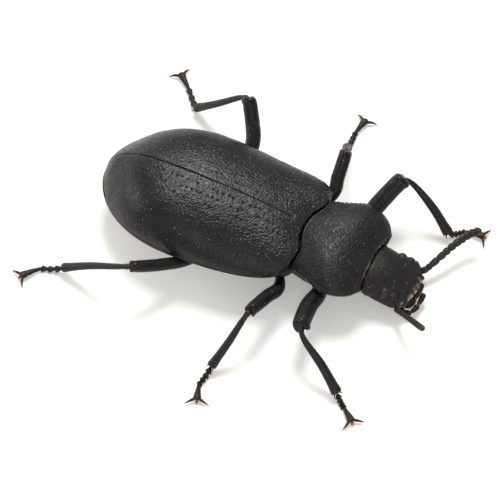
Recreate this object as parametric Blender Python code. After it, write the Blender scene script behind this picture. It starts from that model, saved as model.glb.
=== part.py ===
"""Serrated darkling beetle: a life-size still model of the living animal, standing on six feet.

The beetle faces -Y, its left side is at +X, and the floor is z = 0. Every place on the body is
given in millimetres as (forward, left, up): forward of the waist, where the pronotum meets the
wing cases, left of the midline, and up from the floor.
"""
import math
from collections import namedtuple

import bmesh
import bpy
from mathutils import Matrix, Vector

MM = 0.001

# Gaps between touching pieces, and the finest distance at which points are one
GAP = 0.3
FINE_GAP = 0.2
WELD = 1e-6

# Where the middle of the whole stance lies, seen from the waist
STANCE_FORWARD = -3.716
STANCE_LEFT = -0.489

# Wing cases, measured backward from the waist
WING_START = 0.4
WING_END = 14.66
WING_HALF_WIDTH = 4.95
WING_WIDEST = 7.0
WING_TIP_POWER = 2.33
WING_TIP_ROOT = 1.9
SHOULDER_LENGTH = 6.0
SHOULDER_TAPER = 0.18
SHOULDER_CORNER = 0.10
SHOULDER_CORNER_LENGTH = 0.4
SHOULDER_REACH = 0.25
SHOULDER_REACH_LENGTH = 2.5
BASE_SKEW = 0.05
BASE_WAVE = 0.32
WING_BASE_WAVE = 0.36
BASE_WAVE_EDGE = 0.62
BASE_WAVE_WIDTH = 0.28
BASE_LENGTH = 3.0
BASE_HOLLOW = 0.12
WING_MARGIN_HEIGHT = 2.8
WING_MARGIN_FRONT_RISE = 0.2
WING_SHOULDER_RISE = 0.32
WING_SHOULDER_LENGTH = 2.6
WING_MARGIN_REAR_FALL = 0.12
WING_CREST_HEIGHT = 4.65
WING_CREST_RISE = 0.12
WING_CREST_FALL_START = 5.14
WING_CREST_POWER = 3.4
WING_CREST_ROOT = 1.68
WING_BASE_ROUNDING = 0.5
WING_BASE_LENGTH = 1.6
WING_BULGE_ROWS = ((0.4, 2.15), (4.0, 1.97), (7.0, 2.42), (9.5, 2.49), (12.0, 1.95), (13.2, 1.48),
                   (14.6, 1.36))
WING_SWAY = 0.25
WING_SWAY_START = 9.0
WING_LIP_DEPTH = 0.25
WING_LIP_INSET = 0.2
WING_RINGS = 20
WING_ARC = 10

# Pronotum and the underside of the prothorax
PRONOTUM_BACK = -0.05
PRONOTUM_FRONT = 4.62
PRONOTUM_ROWS = ((-0.05, 3.02), (0.5, 3.12), (1.0, 3.28), (1.6, 3.55), (2.1, 3.76), (2.55, 3.84),
                 (3.0, 3.80), (3.4, 3.68), (3.8, 3.47), (4.2, 3.12), (4.62, 2.50))
PRONOTUM_TURN = math.radians(2.5)
PRONOTUM_CENTRE = 2.3
PRONOTUM_MARGIN_HEIGHT = 3.0
PRONOTUM_MARGIN_FALL = 0.35
PRONOTUM_CREST_HEIGHT = 4.28
PRONOTUM_CREST_FORWARD = 1.7
PRONOTUM_CREST_REAR_FALL = 0.25
PRONOTUM_CREST_FRONT_FALL = 1.08
PRONOTUM_BULGE = 2.2
PRONOTUM_CURL = 0.25
PRONOTUM_LIP = 0.16
PRONOTUM_RINGS = 15
PRONOTUM_ARC = 12
STERNUM_KEEL = 1.1
STERNUM_REAR_KEEL = 4.0
STERNUM_REAR_LENGTH = 1.9
STERNUM_ROWS = ((0.0, 1.75), (1.2, 1.5), (2.4, 1.35), (4.6, 1.2))

# Teeth along the hind half of each side of the pronotum
TEETH = 9
TOOTH_FIRST = 0.45
TOOTH_SPACING = 0.27
TOOTH_RADIUS = 0.16
TOOTH_LENGTH = 0.4
TOOTH_SUNK = 0.7
TOOTH_LEAN = 0.35

# Underside of the body, measured backward from the waist
THORAX_START = 0.25
THORAX_END = 6.95
THORAX_RINGS = 9
ABDOMEN_END = 14.0
BELLY_HEIGHT = 1.5
BELLY_INSET = 0.55
BELLY_KEEL = 1.4
BELLY_FRONT_KEEL = 2.4
BELLY_FRONT_REACH = 0.4
BELLY_FRONT_LENGTH = 1.6
BELLY_WALL = 0.12
BELLY_SIDES = 14
VENTRITE_ENDS = (8.9, 10.4, 11.8, 12.9)
VENTRITE_STEP = 0.1
BELLY_TIP_DEPTH = 0.7

# Head: forward, half width, top and bottom of the capsule along its length
HEAD_ROWS = (
    (4.10, 1.00, 2.50, 1.50),
    (4.60, 1.84, 2.84, 1.12),
    (5.20, 1.95, 2.77, 0.92),
    (5.90, 1.98, 2.54, 0.75),
    (6.60, 2.03, 2.22, 0.66),
    (7.00, 2.02, 1.98, 0.66),
    (7.40, 1.94, 1.73, 0.72),
    (7.76, 1.70, 1.45, 0.84),
)
HEAD_BULGE = 2.1
HEAD_WIDEST_LEVEL = 0.35
HEAD_CENTRE_ROWS = ((4.6, -0.16), (6.0, -0.04), (7.2, 0.04))
HEAD_BACK_LEVEL = 0.15
HEAD_BACK_BULGE = 0.5
HEAD_FRONT_BULGE = 0.7
HEAD_FRONT_LEVEL = 0.22
HEAD_BACK_END = 6.0
HEAD_FRONT_CURVE = 0.17
HEAD_CURVE_START = 6.9
HEAD_RINGS = 13
HEAD_SIDES = 20
NECK_FORWARD = 4.6
NECK_STATIONS = (3.8, 4.1, 4.4, 4.8, 5.4, 6.0)
EYE_CENTRE = (6.08, 1.50, 1.72)
EYE_RADII = (0.40, 0.44, 0.44)

# Mouth: half width, top, bottom of the labrum; places along a mandible and along each palp
LABRUM_GAP = 0.12
LABRUM_ROWS = ((0.0, 0.7, 1.32, 0.98), (0.12, 0.68, 1.27, 0.96), (0.2, 0.5, 1.2, 0.98))
LABRUM_EDGE = 0.12
MANDIBLE_PLACES = ((7.25, 0.95, 0.42), (7.55, 0.88, 0.48), (7.75, 0.6, 0.53), (7.82, 0.24, 0.56))
MANDIBLE_RADII = (0.20, 0.27, 0.26, 0.22, 0.17, 0.08)
PALP_LEFT = ((6.7, 1.0, 0.3), (7.05, 1.45, 0.32), (7.38, 1.62, 0.34), (7.62, 1.44, 0.34))
PALP_RIGHT = ((7.0, -0.95, 0.22), (7.42, -1.4, 0.32), (7.85, -1.5, 0.48), (8.13, -1.05, 0.56),
              (8.24, -0.35, 0.68), (8.24, 0.16, 0.78))
PALP_RADII = (0.12, 0.18, 0.2, 0.15, 0.2, 0.23, 0.17, 0.2, 0.23, 0.18, 0.22, 0.25, 0.15)

# Feelers: eleven segments that widen to the tip
ANTENNA_SEGMENTS = (0.62, 0.24, 0.62, 0.46, 0.44, 0.42, 0.40, 0.38, 0.36, 0.36, 0.44)
ANTENNA_THICKNESS = {"antenna_left": (0.46, 0.60), "antenna_right": (0.46, 0.52)}
ANTENNA_CLEAR = 0.4
ANTENNA_BEAD = ((0.04, 0.62), (0.35, 0.9), (0.75, 1.0), (0.96, 0.72))
ANTENNA_LEFT = ((7.2, 1.86, 0.75), (7.62, 1.86, 0.95), (8.23, 2.89, 1.35), (8.82, 4.14, 1.6),
                (9.56, 5.28, 1.8), (10.1, 5.74, 1.85))
ANTENNA_RIGHT = ((7.05, -1.93, 1.0), (7.58, -2.36, 1.5), (8.45, -3.05, 2.2), (9.92, -4.22, 3.32))

# Legs: thickness of each part, and the places it runs through
FEMUR_RADII = {"front_left": 0.58, "front_right": 0.58, "middle_left": 0.44, "middle_right": 0.44,
               "hind_left": 0.49, "hind_right": 0.40}
FEMUR_POINTS = (0.0, 0.08, 0.17, 0.28, 0.4, 0.52, 0.64, 0.76, 0.87, 0.94, 0.98, 1.0)
FEMUR_ROOTS = {"front": 0.79, "middle": 0.68, "hind": 0.79}
KNEE_REACH = {"front": 0.3, "middle": 0.12, "hind": 0.14}
COXA_RADIUS = 0.62
TIBIA_RADII = {"front": 0.30, "middle": 0.27, "hind": 0.26}
SPUR_LENGTH = 0.42
SPUR_RADIUS = 0.09
SPUR_SUNK = 0.25
TARSUS_RADIUS = 0.24
TARSUS_BEAD = ((0.08, 0.72), (0.7, 1.0), (0.94, 0.85))
TARSUS_HEIGHTS = ((0.0, 0.44), (0.3, 0.28), (0.6, 0.17), (1.0, 0.17))
CLAW_SEGMENT = ((0.08, 0.19, 0.16), (0.5, 0.24, 0.19), (0.9, 0.25, 0.27), (1.0, 0.23, 0.2))
CLAW_ROOT = 0.14
CLAW_SPREAD = math.radians(55.0)
CLAW_LENGTH = 0.84
CLAW_HOOK = 0.16
CLAW_STEPS = ((0.0, 0.22, 0.12), (0.4, 0.25, 0.12), (0.75, 0.16, 0.09), (1.0, 0.06, 0.04))

Leg = namedtuple("Leg", "coxa bows knee shins ankle instep toe")
LEGS = {
    "front_left": Leg(
        coxa=(1.8, 0.95, 1.15), bows=[(2.96, 4.18, 2.3), (3.44, 5.06, 2.95)], knee=(4.08, 6.11, 3.76),
        shins=[(4.74, 6.46, 3.34), (6.36, 6.11, 2.03)], ankle=(7.84, 5.54, 0.5),
        instep=(8.7, 6.36), toe=(10.08, 6.44),
    ),
    "front_right": Leg(
        coxa=(1.8, -0.95, 1.15), bows=[(2.17, -3.37, 2.0), (2.1, -4.94, 2.45)], knee=(2.35, -6.81, 3.02),
        shins=[(2.87, -7.57, 2.68), (4.5, -8.39, 1.69)], ankle=(6.01, -9.29, 0.5),
        instep=(6.71, -9.93), toe=(7.69, -10.83),
    ),
    "middle_left": Leg(
        coxa=(-1.6, 1.35, 1.15), bows=[(-0.08, 4.07, 2.3), (-0.08, 5.31, 3.0)], knee=(-0.1, 6.63, 4.0),
        shins=[(-0.5, 7.6, 3.2), (-0.86, 8.6, 1.8)], ankle=(-1.14, 9.53, 0.5),
        instep=(-1.21, 11.1), toe=(-0.96, 12.36),
    ),
    "middle_right": Leg(
        coxa=(-1.6, -1.35, 1.15), bows=[(-0.4, -3.93, 2.1), (-0.68, -5.4, 2.6)], knee=(-1.01, -7.24, 3.32),
        shins=[(-1.25, -7.86, 2.98), (-1.74, -9.25, 1.83)], ankle=(-2.39, -10.62, 0.5),
        instep=(-2.63, -12.0), toe=(-2.24, -13.26),
    ),
    "hind_left": Leg(
        coxa=(-6.2, 1.6, 1.2), bows=[(-6.45, 4.6, 1.9), (-6.55, 5.96, 2.7), (-7.05, 6.98, 3.35)],
        knee=(-7.69, 7.97, 4.35), shins=[(-8.45, 8.2, 3.83), (-10.1, 8.26, 2.28)],
        ankle=(-11.91, 8.54, 0.5), instep=(-13.08, 10.04), toe=(-14.15, 11.03),
    ),
    "hind_right": Leg(
        coxa=(-6.2, -1.6, 1.2), bows=[(-6.53, -3.89, 1.85), (-8.02, -5.86, 2.75)], knee=(-9.42, -7.31, 3.6),
        shins=[(-10.6, -7.36, 3.02), (-12.61, -7.24, 1.84)], ankle=(-14.61, -7.21, 0.5),
        instep=(-15.99, -7.62), toe=(-17.01, -8.83),
    ),
}
SHORT_SEGMENTS = {"front": 4, "middle": 4, "hind": 3}

# Colour and roughness of each kind of surface
SHELL = ((0.020, 0.020, 0.021), 0.6)
LIMB = ((0.018, 0.017, 0.017), 0.45)
FOOT = ((0.030, 0.018, 0.014), 0.5)
EYE = ((0.010, 0.009, 0.009), 0.25)


def spot(forward, left, up):
    """A place on the body as a point of the scene, in metres."""
    return Vector((left, -forward, up)) * MM


def blend(x, rows):
    """Reads a smooth curve through rows of (x, value, value...) at x."""
    last = len(rows) - 1
    k = next((i for i in range(last) if x < rows[i + 1][0]), last - 1)
    x0, x1 = rows[k][0], rows[k + 1][0]
    t = min(max((x - x0) / (x1 - x0), 0.0), 1.0)
    values = []
    for column in range(1, len(rows[0])):
        p = [rows[min(max(k + i, 0), last)][column] for i in (-1, 0, 1, 2)]
        q = [rows[min(max(k + i, 0), last)][0] for i in (-1, 0, 1, 2)]
        start = (p[2] - p[0]) / (q[2] - q[0]) * (x1 - x0)
        end = (p[3] - p[1]) / (q[3] - q[1]) * (x1 - x0)
        values.append(
            (2 * t**3 - 3 * t**2 + 1) * p[1] + (t**3 - 2 * t**2 + t) * start
            + (3 * t**2 - 2 * t**3) * p[2] + (t**3 - t**2) * end
        )
    return values


def closing(x, start, end, power, root):
    """Falls from 1 at start to 0 at end, as the outline of a rounded tip does."""
    t = min(max((x - start) / (end - start), 0.0), 1.0)
    return (1.0 - t**power) ** (1.0 / root)


def hill(x, centre, width):
    """A smooth bump of height 1."""
    return math.exp(-(((x - centre) / width) ** 2))


def step(x, low, high):
    """Rises smoothly from 0 at low to 1 at high."""
    t = min(max((x - low) / (high - low), 0.0), 1.0)
    return t * t * (3.0 - 2.0 * t)


def bulge(angle, power):
    """Sideways and upward reach of a full arch at an angle from its crown."""
    side = math.copysign(abs(math.sin(angle)) ** (2.0 / power), angle)
    return side, max(math.cos(angle), 0.0) ** (2.0 / power)


def smooth_path(points, count):
    """Points spread evenly along a smooth curve through the given points."""
    rows = [(float(i), *p) for i, p in enumerate(points)]
    fine = [Vector(blend(i / 20.0, rows)) for i in range(20 * (len(points) - 1) + 1)]
    along = [0.0]
    for a, b in zip(fine, fine[1:]):
        along.append(along[-1] + (b - a).length)
    path = []
    for i in range(count):
        want = along[-1] * i / (count - 1)
        k = next((j for j in range(len(along) - 2) if along[j + 1] > want), len(along) - 2)
        path.append(fine[k].lerp(fine[k + 1], (want - along[k]) / (along[k + 1] - along[k])))
    return path


def path_beyond(places, clear, count):
    """The stretch of a curve that lies further than a clearance from its first place."""
    path = smooth_path(places, 60)
    start = next(i for i, p in enumerate(path) if (p - path[0]).length > clear * MM)
    return smooth_path(path[start:], count)


def loft(rings):
    """A closed mesh through rings of points, with a flat cap at each end."""
    bm = bmesh.new()
    loops = [[bm.verts.new(p) for p in ring] for ring in rings]
    count = len(rings[0])
    for a, b in zip(loops, loops[1:]):
        for i in range(count):
            j = (i + 1) % count
            bm.faces.new((a[i], a[j], b[j], b[i]))
    bm.faces.new(loops[0])
    bm.faces.new(loops[-1])
    bmesh.ops.remove_doubles(bm, verts=bm.verts, dist=WELD)
    bmesh.ops.recalc_face_normals(bm, faces=bm.faces)
    return bm


def tube(points, radii, resolution=2):
    """A closed tube through points in metres, each with its own radius in millimetres."""
    curve = bpy.data.curves.new("tube", "CURVE")
    curve.dimensions = "3D"
    curve.bevel_depth = MM
    curve.bevel_resolution = resolution
    curve.use_fill_caps = True
    spline = curve.splines.new("POLY")
    spline.points.add(len(points) - 1)
    for target, point, radius in zip(spline.points, points, radii):
        target.co = (*point, 1.0)
        target.radius = radius
    guide = bpy.data.objects.new("tube", curve)
    bpy.context.scene.collection.objects.link(guide)
    bpy.context.view_layer.update()
    mesh = bpy.data.meshes.new_from_object(guide.evaluated_get(bpy.context.evaluated_depsgraph_get()))
    bm = bmesh.new()
    bm.from_mesh(mesh)
    bmesh.ops.remove_doubles(bm, verts=bm.verts, dist=WELD)
    bmesh.ops.recalc_face_normals(bm, faces=bm.faces)
    bpy.data.objects.remove(guide)
    bpy.data.curves.remove(curve)
    bpy.data.meshes.remove(mesh)
    return bm


def ellipsoid(centre, radii, segments=16, rings=10):
    """An ellipsoid about a point in metres, with radii forward, left and up in millimetres."""
    bm = bmesh.new()
    size = Matrix.Diagonal((radii[1] * MM, radii[0] * MM, radii[2] * MM, 1.0))
    matrix = Matrix.Translation(centre) @ size
    bmesh.ops.create_uvsphere(bm, u_segments=segments, v_segments=rings, radius=1.0, matrix=matrix)
    return bm


def spine(root, tip, radius, sides=6):
    """A sharp cone from a root to a tip, both in metres."""
    bm = bmesh.new()
    axis = tip - root
    turn = axis.to_track_quat("Z", "Y").to_matrix().to_4x4()
    matrix = Matrix.Translation(root.lerp(tip, 0.5)) @ turn
    bmesh.ops.create_cone(bm, cap_ends=True, segments=sides, radius1=radius * MM, radius2=0.15 * radius * MM,
                          depth=axis.length, matrix=matrix)
    return bm


def floor_block():
    """A block below the floor, wide enough to trim every foot."""
    bm = bmesh.new()
    size = 60.0 * MM
    bmesh.ops.create_cube(bm, size=size, matrix=Matrix.Translation((0.0, 0.0, -size / 2.0)))
    return bm


def extent(verts):
    """The diagonal of the box around some vertices."""
    corners = list(zip(*(v.co for v in verts)))
    return math.dist([min(values) for values in corners], [max(values) for values in corners])


def keep_largest(bm):
    """Leaves only the largest connected surface of a mesh."""
    islands = []
    unseen = set(bm.verts)
    while unseen:
        stack = [unseen.pop()]
        island = set(stack)
        while stack:
            for edge in stack.pop().link_edges:
                for vert in edge.verts:
                    if vert in unseen:
                        unseen.remove(vert)
                        island.add(vert)
                        stack.append(vert)
        islands.append(island)
    biggest = max(islands, key=extent)
    bmesh.ops.delete(bm, geom=[v for v in bm.verts if v not in biggest], context="VERTS")


def combine(base, others, operation):
    """Joins closed meshes to a base, or cuts them out of it, in one Boolean."""
    scene_collection = bpy.context.scene.collection
    group = bpy.data.collections.new("combine")
    scene_collection.children.link(group)
    objects = []
    for piece in [base, *others]:
        mesh = bpy.data.meshes.new("combine")
        piece.to_mesh(mesh)
        piece.free()
        objects.append(bpy.data.objects.new("combine", mesh))
    scene_collection.objects.link(objects[0])
    for obj in objects[1:]:
        group.objects.link(obj)
    modifier = objects[0].modifiers.new("combine", "BOOLEAN")
    modifier.operation = operation
    modifier.operand_type = "COLLECTION"
    modifier.collection = group
    modifier.solver = "EXACT"
    bpy.context.view_layer.update()
    result = bpy.data.meshes.new_from_object(objects[0].evaluated_get(bpy.context.evaluated_depsgraph_get()))
    bm = bmesh.new()
    bm.from_mesh(result)
    bmesh.ops.remove_doubles(bm, verts=bm.verts, dist=WELD)
    keep_largest(bm)
    bpy.data.meshes.remove(result)
    for obj in objects:
        mesh = obj.data
        bpy.data.objects.remove(obj)
        bpy.data.meshes.remove(mesh)
    bpy.data.collections.remove(group)
    return bm


def make_material(name, colour, roughness):
    material = bpy.data.materials.new(name)
    material.use_nodes = True
    shader = material.node_tree.nodes["Principled BSDF"]
    shader.inputs["Base Color"].default_value = (*colour, 1.0)
    shader.inputs["Roughness"].default_value = roughness
    shader.inputs["Metallic"].default_value = 0.0
    return material


def add_node(name, bm, origin, finish, beetle):
    """Puts a mesh into the scene as a named piece whose origin is where it is jointed."""
    bmesh.ops.translate(bm, vec=-origin, verts=bm.verts)
    bmesh.ops.triangulate(bm, faces=bm.faces)
    mesh = bpy.data.meshes.new(name)
    bm.to_mesh(mesh)
    bm.free()
    mesh.shade_smooth()
    mesh.set_sharp_from_angle(angle=math.radians(50.0))
    mesh.materials.append(make_material(name, *finish))
    obj = bpy.data.objects.new(name, mesh)
    obj.location = origin
    obj.parent = beetle
    beetle.users_collection[0].objects.link(obj)


def wing_half_width(back):
    taper = SHOULDER_TAPER * max(1.0 - back / SHOULDER_LENGTH, 0.0) ** 2
    corner = SHOULDER_CORNER * math.exp((WING_START - back) / SHOULDER_CORNER_LENGTH)
    tip = closing(back, WING_WIDEST, WING_END, WING_TIP_POWER, WING_TIP_ROOT)
    return WING_HALF_WIDTH * (1.0 - taper - corner) * tip


def wing_margin_height(back):
    front = WING_MARGIN_FRONT_RISE * max(1.0 - back / SHOULDER_LENGTH, 0.0)
    shoulder = WING_SHOULDER_RISE * max(1.0 - (back - WING_START) / WING_SHOULDER_LENGTH, 0.0) ** 1.5
    rear = WING_MARGIN_REAR_FALL * max((back - WING_WIDEST) / (WING_END - WING_WIDEST), 0.0) ** 2
    return WING_MARGIN_HEIGHT + front + shoulder - rear


def wing_crest_height(back):
    margin = wing_margin_height(back)
    base = WING_BASE_ROUNDING * math.exp((WING_START - back) / WING_BASE_LENGTH)
    ridge = WING_CREST_HEIGHT + WING_CREST_RISE * back - base
    tip = closing(back, WING_CREST_FALL_START, WING_END, WING_CREST_POWER, WING_CREST_ROOT)
    return margin + (ridge - margin) * tip


def base_wave(edge, along):
    """How far the edges at the waist wave forward on each side, in parts of their full wave."""
    return hill(edge, BASE_WAVE_EDGE, BASE_WAVE_WIDTH) * max(1.0 - along / BASE_LENGTH, 0.0)


def base_hollow(edge, along):
    """How far the edges at the waist draw back in the middle."""
    return BASE_HOLLOW * (1.0 - min(edge, 1.0) ** 2) * max(1.0 - along / BASE_LENGTH, 0.0)


def wing_case_ring(back, side):
    """One cross-section of a wing case: the vault, its folded lip and the flat underside."""
    width = wing_half_width(back)
    margin = wing_margin_height(back)
    rise = wing_crest_height(back) - margin
    inner = GAP / 2.0
    power = blend(back, WING_BULGE_ROWS)[0]
    outline = []
    for i in range(WING_ARC + 1):
        across, high = bulge(math.pi / 2.0 * i / WING_ARC, power)
        outline.append((inner + (width - inner) * across, margin + rise * high))
    shrink = min(1.0, 1.6 * width)
    low = margin - WING_LIP_DEPTH * shrink
    outline.append((max(width - WING_LIP_INSET * shrink, inner), low))
    outline.append((inner, low))
    ahead = SHOULDER_REACH * max(1.0 - (back - WING_START) / SHOULDER_REACH_LENGTH, 0.0)
    skew = BASE_SKEW * side * max(1.0 - (back - WING_START) / BASE_LENGTH, 0.0)
    sway = WING_SWAY * max((back - WING_SWAY_START) / (WING_END - WING_SWAY_START), 0.0) ** 2
    ring = []
    for left, up in outline:
        edge = left / max(width, inner)
        behind = back - WING_START
        wave = WING_BASE_WAVE * base_wave(edge, behind) - base_hollow(edge, behind)
        forward = ahead * edge**2 + skew * left + wave - back
        ring.append(spot(forward, side * left + sway, up))
    return ring


def wing_case(side):
    rings = []
    for i in range(WING_RINGS + 1):
        share = 0.5 - 0.5 * math.cos(math.pi * i / WING_RINGS)
        back = WING_START + (WING_END - 0.1 * FINE_GAP - WING_START) * share
        rings.append(wing_case_ring(back, side))
    return loft(rings)


def pronotum_half_width(forward):
    return blend(forward, PRONOTUM_ROWS)[0]


def pronotum_margin_height(forward):
    return PRONOTUM_MARGIN_HEIGHT - PRONOTUM_MARGIN_FALL * max(forward / PRONOTUM_FRONT, 0.0) ** 3


def pronotum_crest_height(forward):
    if forward < PRONOTUM_CREST_FORWARD:
        x = (PRONOTUM_CREST_FORWARD - forward) / PRONOTUM_CREST_FORWARD
        return PRONOTUM_CREST_HEIGHT - PRONOTUM_CREST_REAR_FALL * x**2
    x = (forward - PRONOTUM_CREST_FORWARD) / (PRONOTUM_FRONT - PRONOTUM_CREST_FORWARD)
    return PRONOTUM_CREST_HEIGHT - PRONOTUM_CREST_FRONT_FALL * x**2.2


def turned_prothorax(forward, left):
    """The prothorax is bent a little to the animal's right."""
    ahead = forward - PRONOTUM_CENTRE
    cosine, sine = math.cos(PRONOTUM_TURN), math.sin(PRONOTUM_TURN)
    return PRONOTUM_CENTRE + ahead * cosine + left * sine, left * cosine - ahead * sine


def prothorax_ring(forward):
    """One cross-section of the prothorax: the pronotum above, the hollowed sides and sternum below."""
    width = pronotum_half_width(forward)
    margin = pronotum_margin_height(forward)
    rise = pronotum_crest_height(forward) - margin
    low = margin - PRONOTUM_LIP
    depth = low - blend(forward, STERNUM_ROWS)[0]
    under = width - 0.5 * PRONOTUM_LIP
    rear = 1.0 - step(forward, 0.5, STERNUM_REAR_LENGTH)
    power = STERNUM_KEEL + (STERNUM_REAR_KEEL - STERNUM_KEEL) * rear
    outline = []
    for i in range(2 * PRONOTUM_ARC + 1):
        across, high = bulge(math.pi / 2.0 * (i / PRONOTUM_ARC - 1.0), PRONOTUM_BULGE)
        outline.append((width * across, margin + rise * high))
    for i in range(PRONOTUM_ARC + 1):
        across = math.cos(math.pi * i / PRONOTUM_ARC)
        keel = max(1.0 - abs(across) ** power, 0.0) ** (1.0 / power)
        outline.append((under * across, low - depth * keel))
    ring = []
    for left, up in outline:
        edge = abs(left) / width
        ahead = PRONOTUM_CURL * edge**2 + BASE_WAVE * base_wave(edge, forward)
        ahead -= base_hollow(edge, forward)
        ring.append(spot(*turned_prothorax(forward + ahead, left), up))
    return ring


def pronotum_teeth(side):
    """The saw edge: small teeth that point outward and back, roots sunk in the margin."""
    teeth = []
    for i in range(TEETH):
        forward = TOOTH_FIRST + TOOTH_SPACING * i
        height = pronotum_margin_height(forward) - PRONOTUM_LIP / 2.0
        ahead = PRONOTUM_CURL + BASE_WAVE * base_wave(1.0, forward)
        edge = spot(*turned_prothorax(forward + ahead, side * pronotum_half_width(forward)), height)
        outward = spot(-TOOTH_LEAN, side, 0.0).normalized() * TOOTH_LENGTH * MM
        teeth.append(spine(edge - outward * TOOTH_SUNK, edge + outward * (1.0 - TOOTH_SUNK), TOOTH_RADIUS))
    return teeth


def head_outline(forward, swell=0.0):
    """The head's cross-section as places left and up."""
    width, top, bottom = blend(forward, HEAD_ROWS)
    behind = 1.0 - step(forward, HEAD_ROWS[1][0], HEAD_BACK_END)
    ahead = step(forward, 7.0, 7.6)
    level = HEAD_WIDEST_LEVEL + HEAD_BACK_LEVEL * behind + HEAD_FRONT_LEVEL * ahead
    middle = bottom + level * (top - bottom)
    power = 2.0 / (HEAD_BULGE + HEAD_BACK_BULGE * behind + HEAD_FRONT_BULGE * ahead)
    centre = blend(forward, HEAD_CENTRE_ROWS)[0]
    outline = []
    for i in range(HEAD_SIDES):
        angle = 2.0 * math.pi * i / HEAD_SIDES
        across = math.copysign(abs(math.sin(angle)) ** power, math.sin(angle))
        high = math.copysign(abs(math.cos(angle)) ** power, math.cos(angle))
        reach = (top - middle if high > 0.0 else middle - bottom) + swell
        outline.append((centre + across * (width + swell), middle + high * reach))
    return outline


def head_capsule():
    start, end = HEAD_ROWS[0][0], HEAD_ROWS[-1][0]
    rings = []
    for i in range(HEAD_RINGS):
        forward = start + (end - start) * i / (HEAD_RINGS - 1)
        curve = HEAD_FRONT_CURVE * step(forward, HEAD_CURVE_START, end)
        outline = head_outline(forward)
        rings.append([spot(forward + curve * (1.0 - left**2), left, up) for left, up in outline])
    return loft(rings)


def neck_socket():
    """The hollow at the front of the prothorax that takes the back of the head."""
    return loft([[spot(f, left, up) for left, up in head_outline(f, GAP)] for f in NECK_STATIONS])


def build_head(beetle):
    centres = {name: spot(EYE_CENTRE[0], side * EYE_CENTRE[1], EYE_CENTRE[2])
               for name, side in (("eye_left", 1), ("eye_right", -1))}
    sockets = [ellipsoid(centre, [r + FINE_GAP for r in EYE_RADII], 14, 8) for centre in centres.values()]
    head = combine(head_capsule(), sockets, "DIFFERENCE")
    add_node("head", head, spot(NECK_FORWARD, 0.0, 2.0), SHELL, beetle)
    for name, centre in centres.items():
        add_node(name, ellipsoid(centre, EYE_RADII, 14, 9), centre, EYE, beetle)


def build_mouth(beetle):
    front = HEAD_ROWS[-1][0] + HEAD_FRONT_CURVE + LABRUM_GAP
    rings = []
    for ahead, half, top, bottom in LABRUM_ROWS:
        corners = [(-half, bottom), (-half, top - LABRUM_EDGE), (-0.6 * half, top), (0.6 * half, top),
                   (half, top - LABRUM_EDGE), (half, bottom)]
        rings.append([spot(front + ahead, left, up) for left, up in corners])
    add_node("labrum", loft(rings), spot(front, 0.0, 1.15), FOOT, beetle)
    for name, side in (("mandible_left", 1), ("mandible_right", -1)):
        places = [spot(f, side * left, up) for f, left, up in MANDIBLE_PLACES]
        path = smooth_path(places, len(MANDIBLE_RADII))
        add_node(name, tube(path, MANDIBLE_RADII), path[0], FOOT, beetle)
    for name, places in (("palp_left", PALP_LEFT), ("palp_right", PALP_RIGHT)):
        path = smooth_path([spot(*place) for place in places], len(PALP_RADII))
        add_node(name, tube(path, PALP_RADII), path[0], LIMB, beetle)


def build_antenna(name, places, beetle):
    """A feeler: beads on a curve from the side of the head to its tip."""
    guide = path_beyond([spot(*place) for place in places], ANTENNA_CLEAR, 60)
    total = sum(ANTENNA_SEGMENTS)
    thin, thick = ANTENNA_THICKNESS[name]
    points, radii = [], []
    passed = 0.0
    for i, length in enumerate(ANTENNA_SEGMENTS):
        radius = 0.5 * (thin + (thick - thin) * i / (len(ANTENNA_SEGMENTS) - 1))
        for part, swell in ANTENNA_BEAD:
            at = (passed + part * length) / total * (len(guide) - 1)
            k = min(int(at), len(guide) - 2)
            points.append(guide[k].lerp(guide[k + 1], at - k))
            radii.append(radius * swell)
        passed += length
    radii[0] *= 0.75
    radii[-1] *= 0.5
    add_node(name, tube(points, radii), guide[0], LIMB, beetle)


def underside_ring(back, fullness=1.0):
    """One cross-section of the sternum or belly, a shallow keel below a flat top."""
    front = max(1.0 - back / BELLY_FRONT_LENGTH, 0.0)
    width = max(wing_half_width(back) - BELLY_INSET + BELLY_FRONT_REACH * front, GAP)
    power = BELLY_KEEL + BELLY_FRONT_KEEL * front
    top = wing_margin_height(back) - WING_LIP_DEPTH - GAP
    depth = (top - BELLY_HEIGHT) * fullness - BELLY_WALL
    outline = [(width, top), (-width, top)]
    for i in range(1, BELLY_SIDES):
        across = math.cos(math.pi * i / BELLY_SIDES)
        keel = max(1.0 - abs(across) ** power, 0.0) ** (1.0 / power)
        outline.append((-width * across, top - BELLY_WALL - depth * keel))
    return [spot(-back, left, up) for left, up in outline]


def femur(name, swell=0.0):
    """A thigh: slender root beside the coxa, club of the outer half, blunt knee."""
    leg = LEGS[name]
    pair = name.split("_")[0]
    places = [spot(*place) for place in (leg.coxa, *leg.bows, leg.knee)]
    places[-1] += (places[-1] - places[-2]).normalized() * KNEE_REACH[pair] * MM
    guide = path_beyond(places, COXA_RADIUS + GAP, 101)
    path = [guide[round(100 * share)] for share in FEMUR_POINTS]
    if swell:
        path[0] += (path[0] - path[1]).normalized() * swell * MM
    club = FEMUR_RADII[name]
    rows = ((0.0, 0.26), (0.08, 0.32), (0.24, FEMUR_ROOTS[pair] * club), (0.5, club), (0.87, club),
            (0.94, 0.96 * club), (0.98, 0.8 * club), (1.0, 0.5 * club))
    radii = [blend(share, rows)[0] + swell for share in FEMUR_POINTS]
    return tube(path, radii, 3)


def shin_path(name, count):
    """The tibia's run from just clear of the knee to the ankle."""
    leg = LEGS[name]
    places = [spot(*place) for place in (leg.knee, *leg.shins, leg.ankle)]
    return path_beyond(places, FEMUR_RADII[name] + GAP, count)


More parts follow.
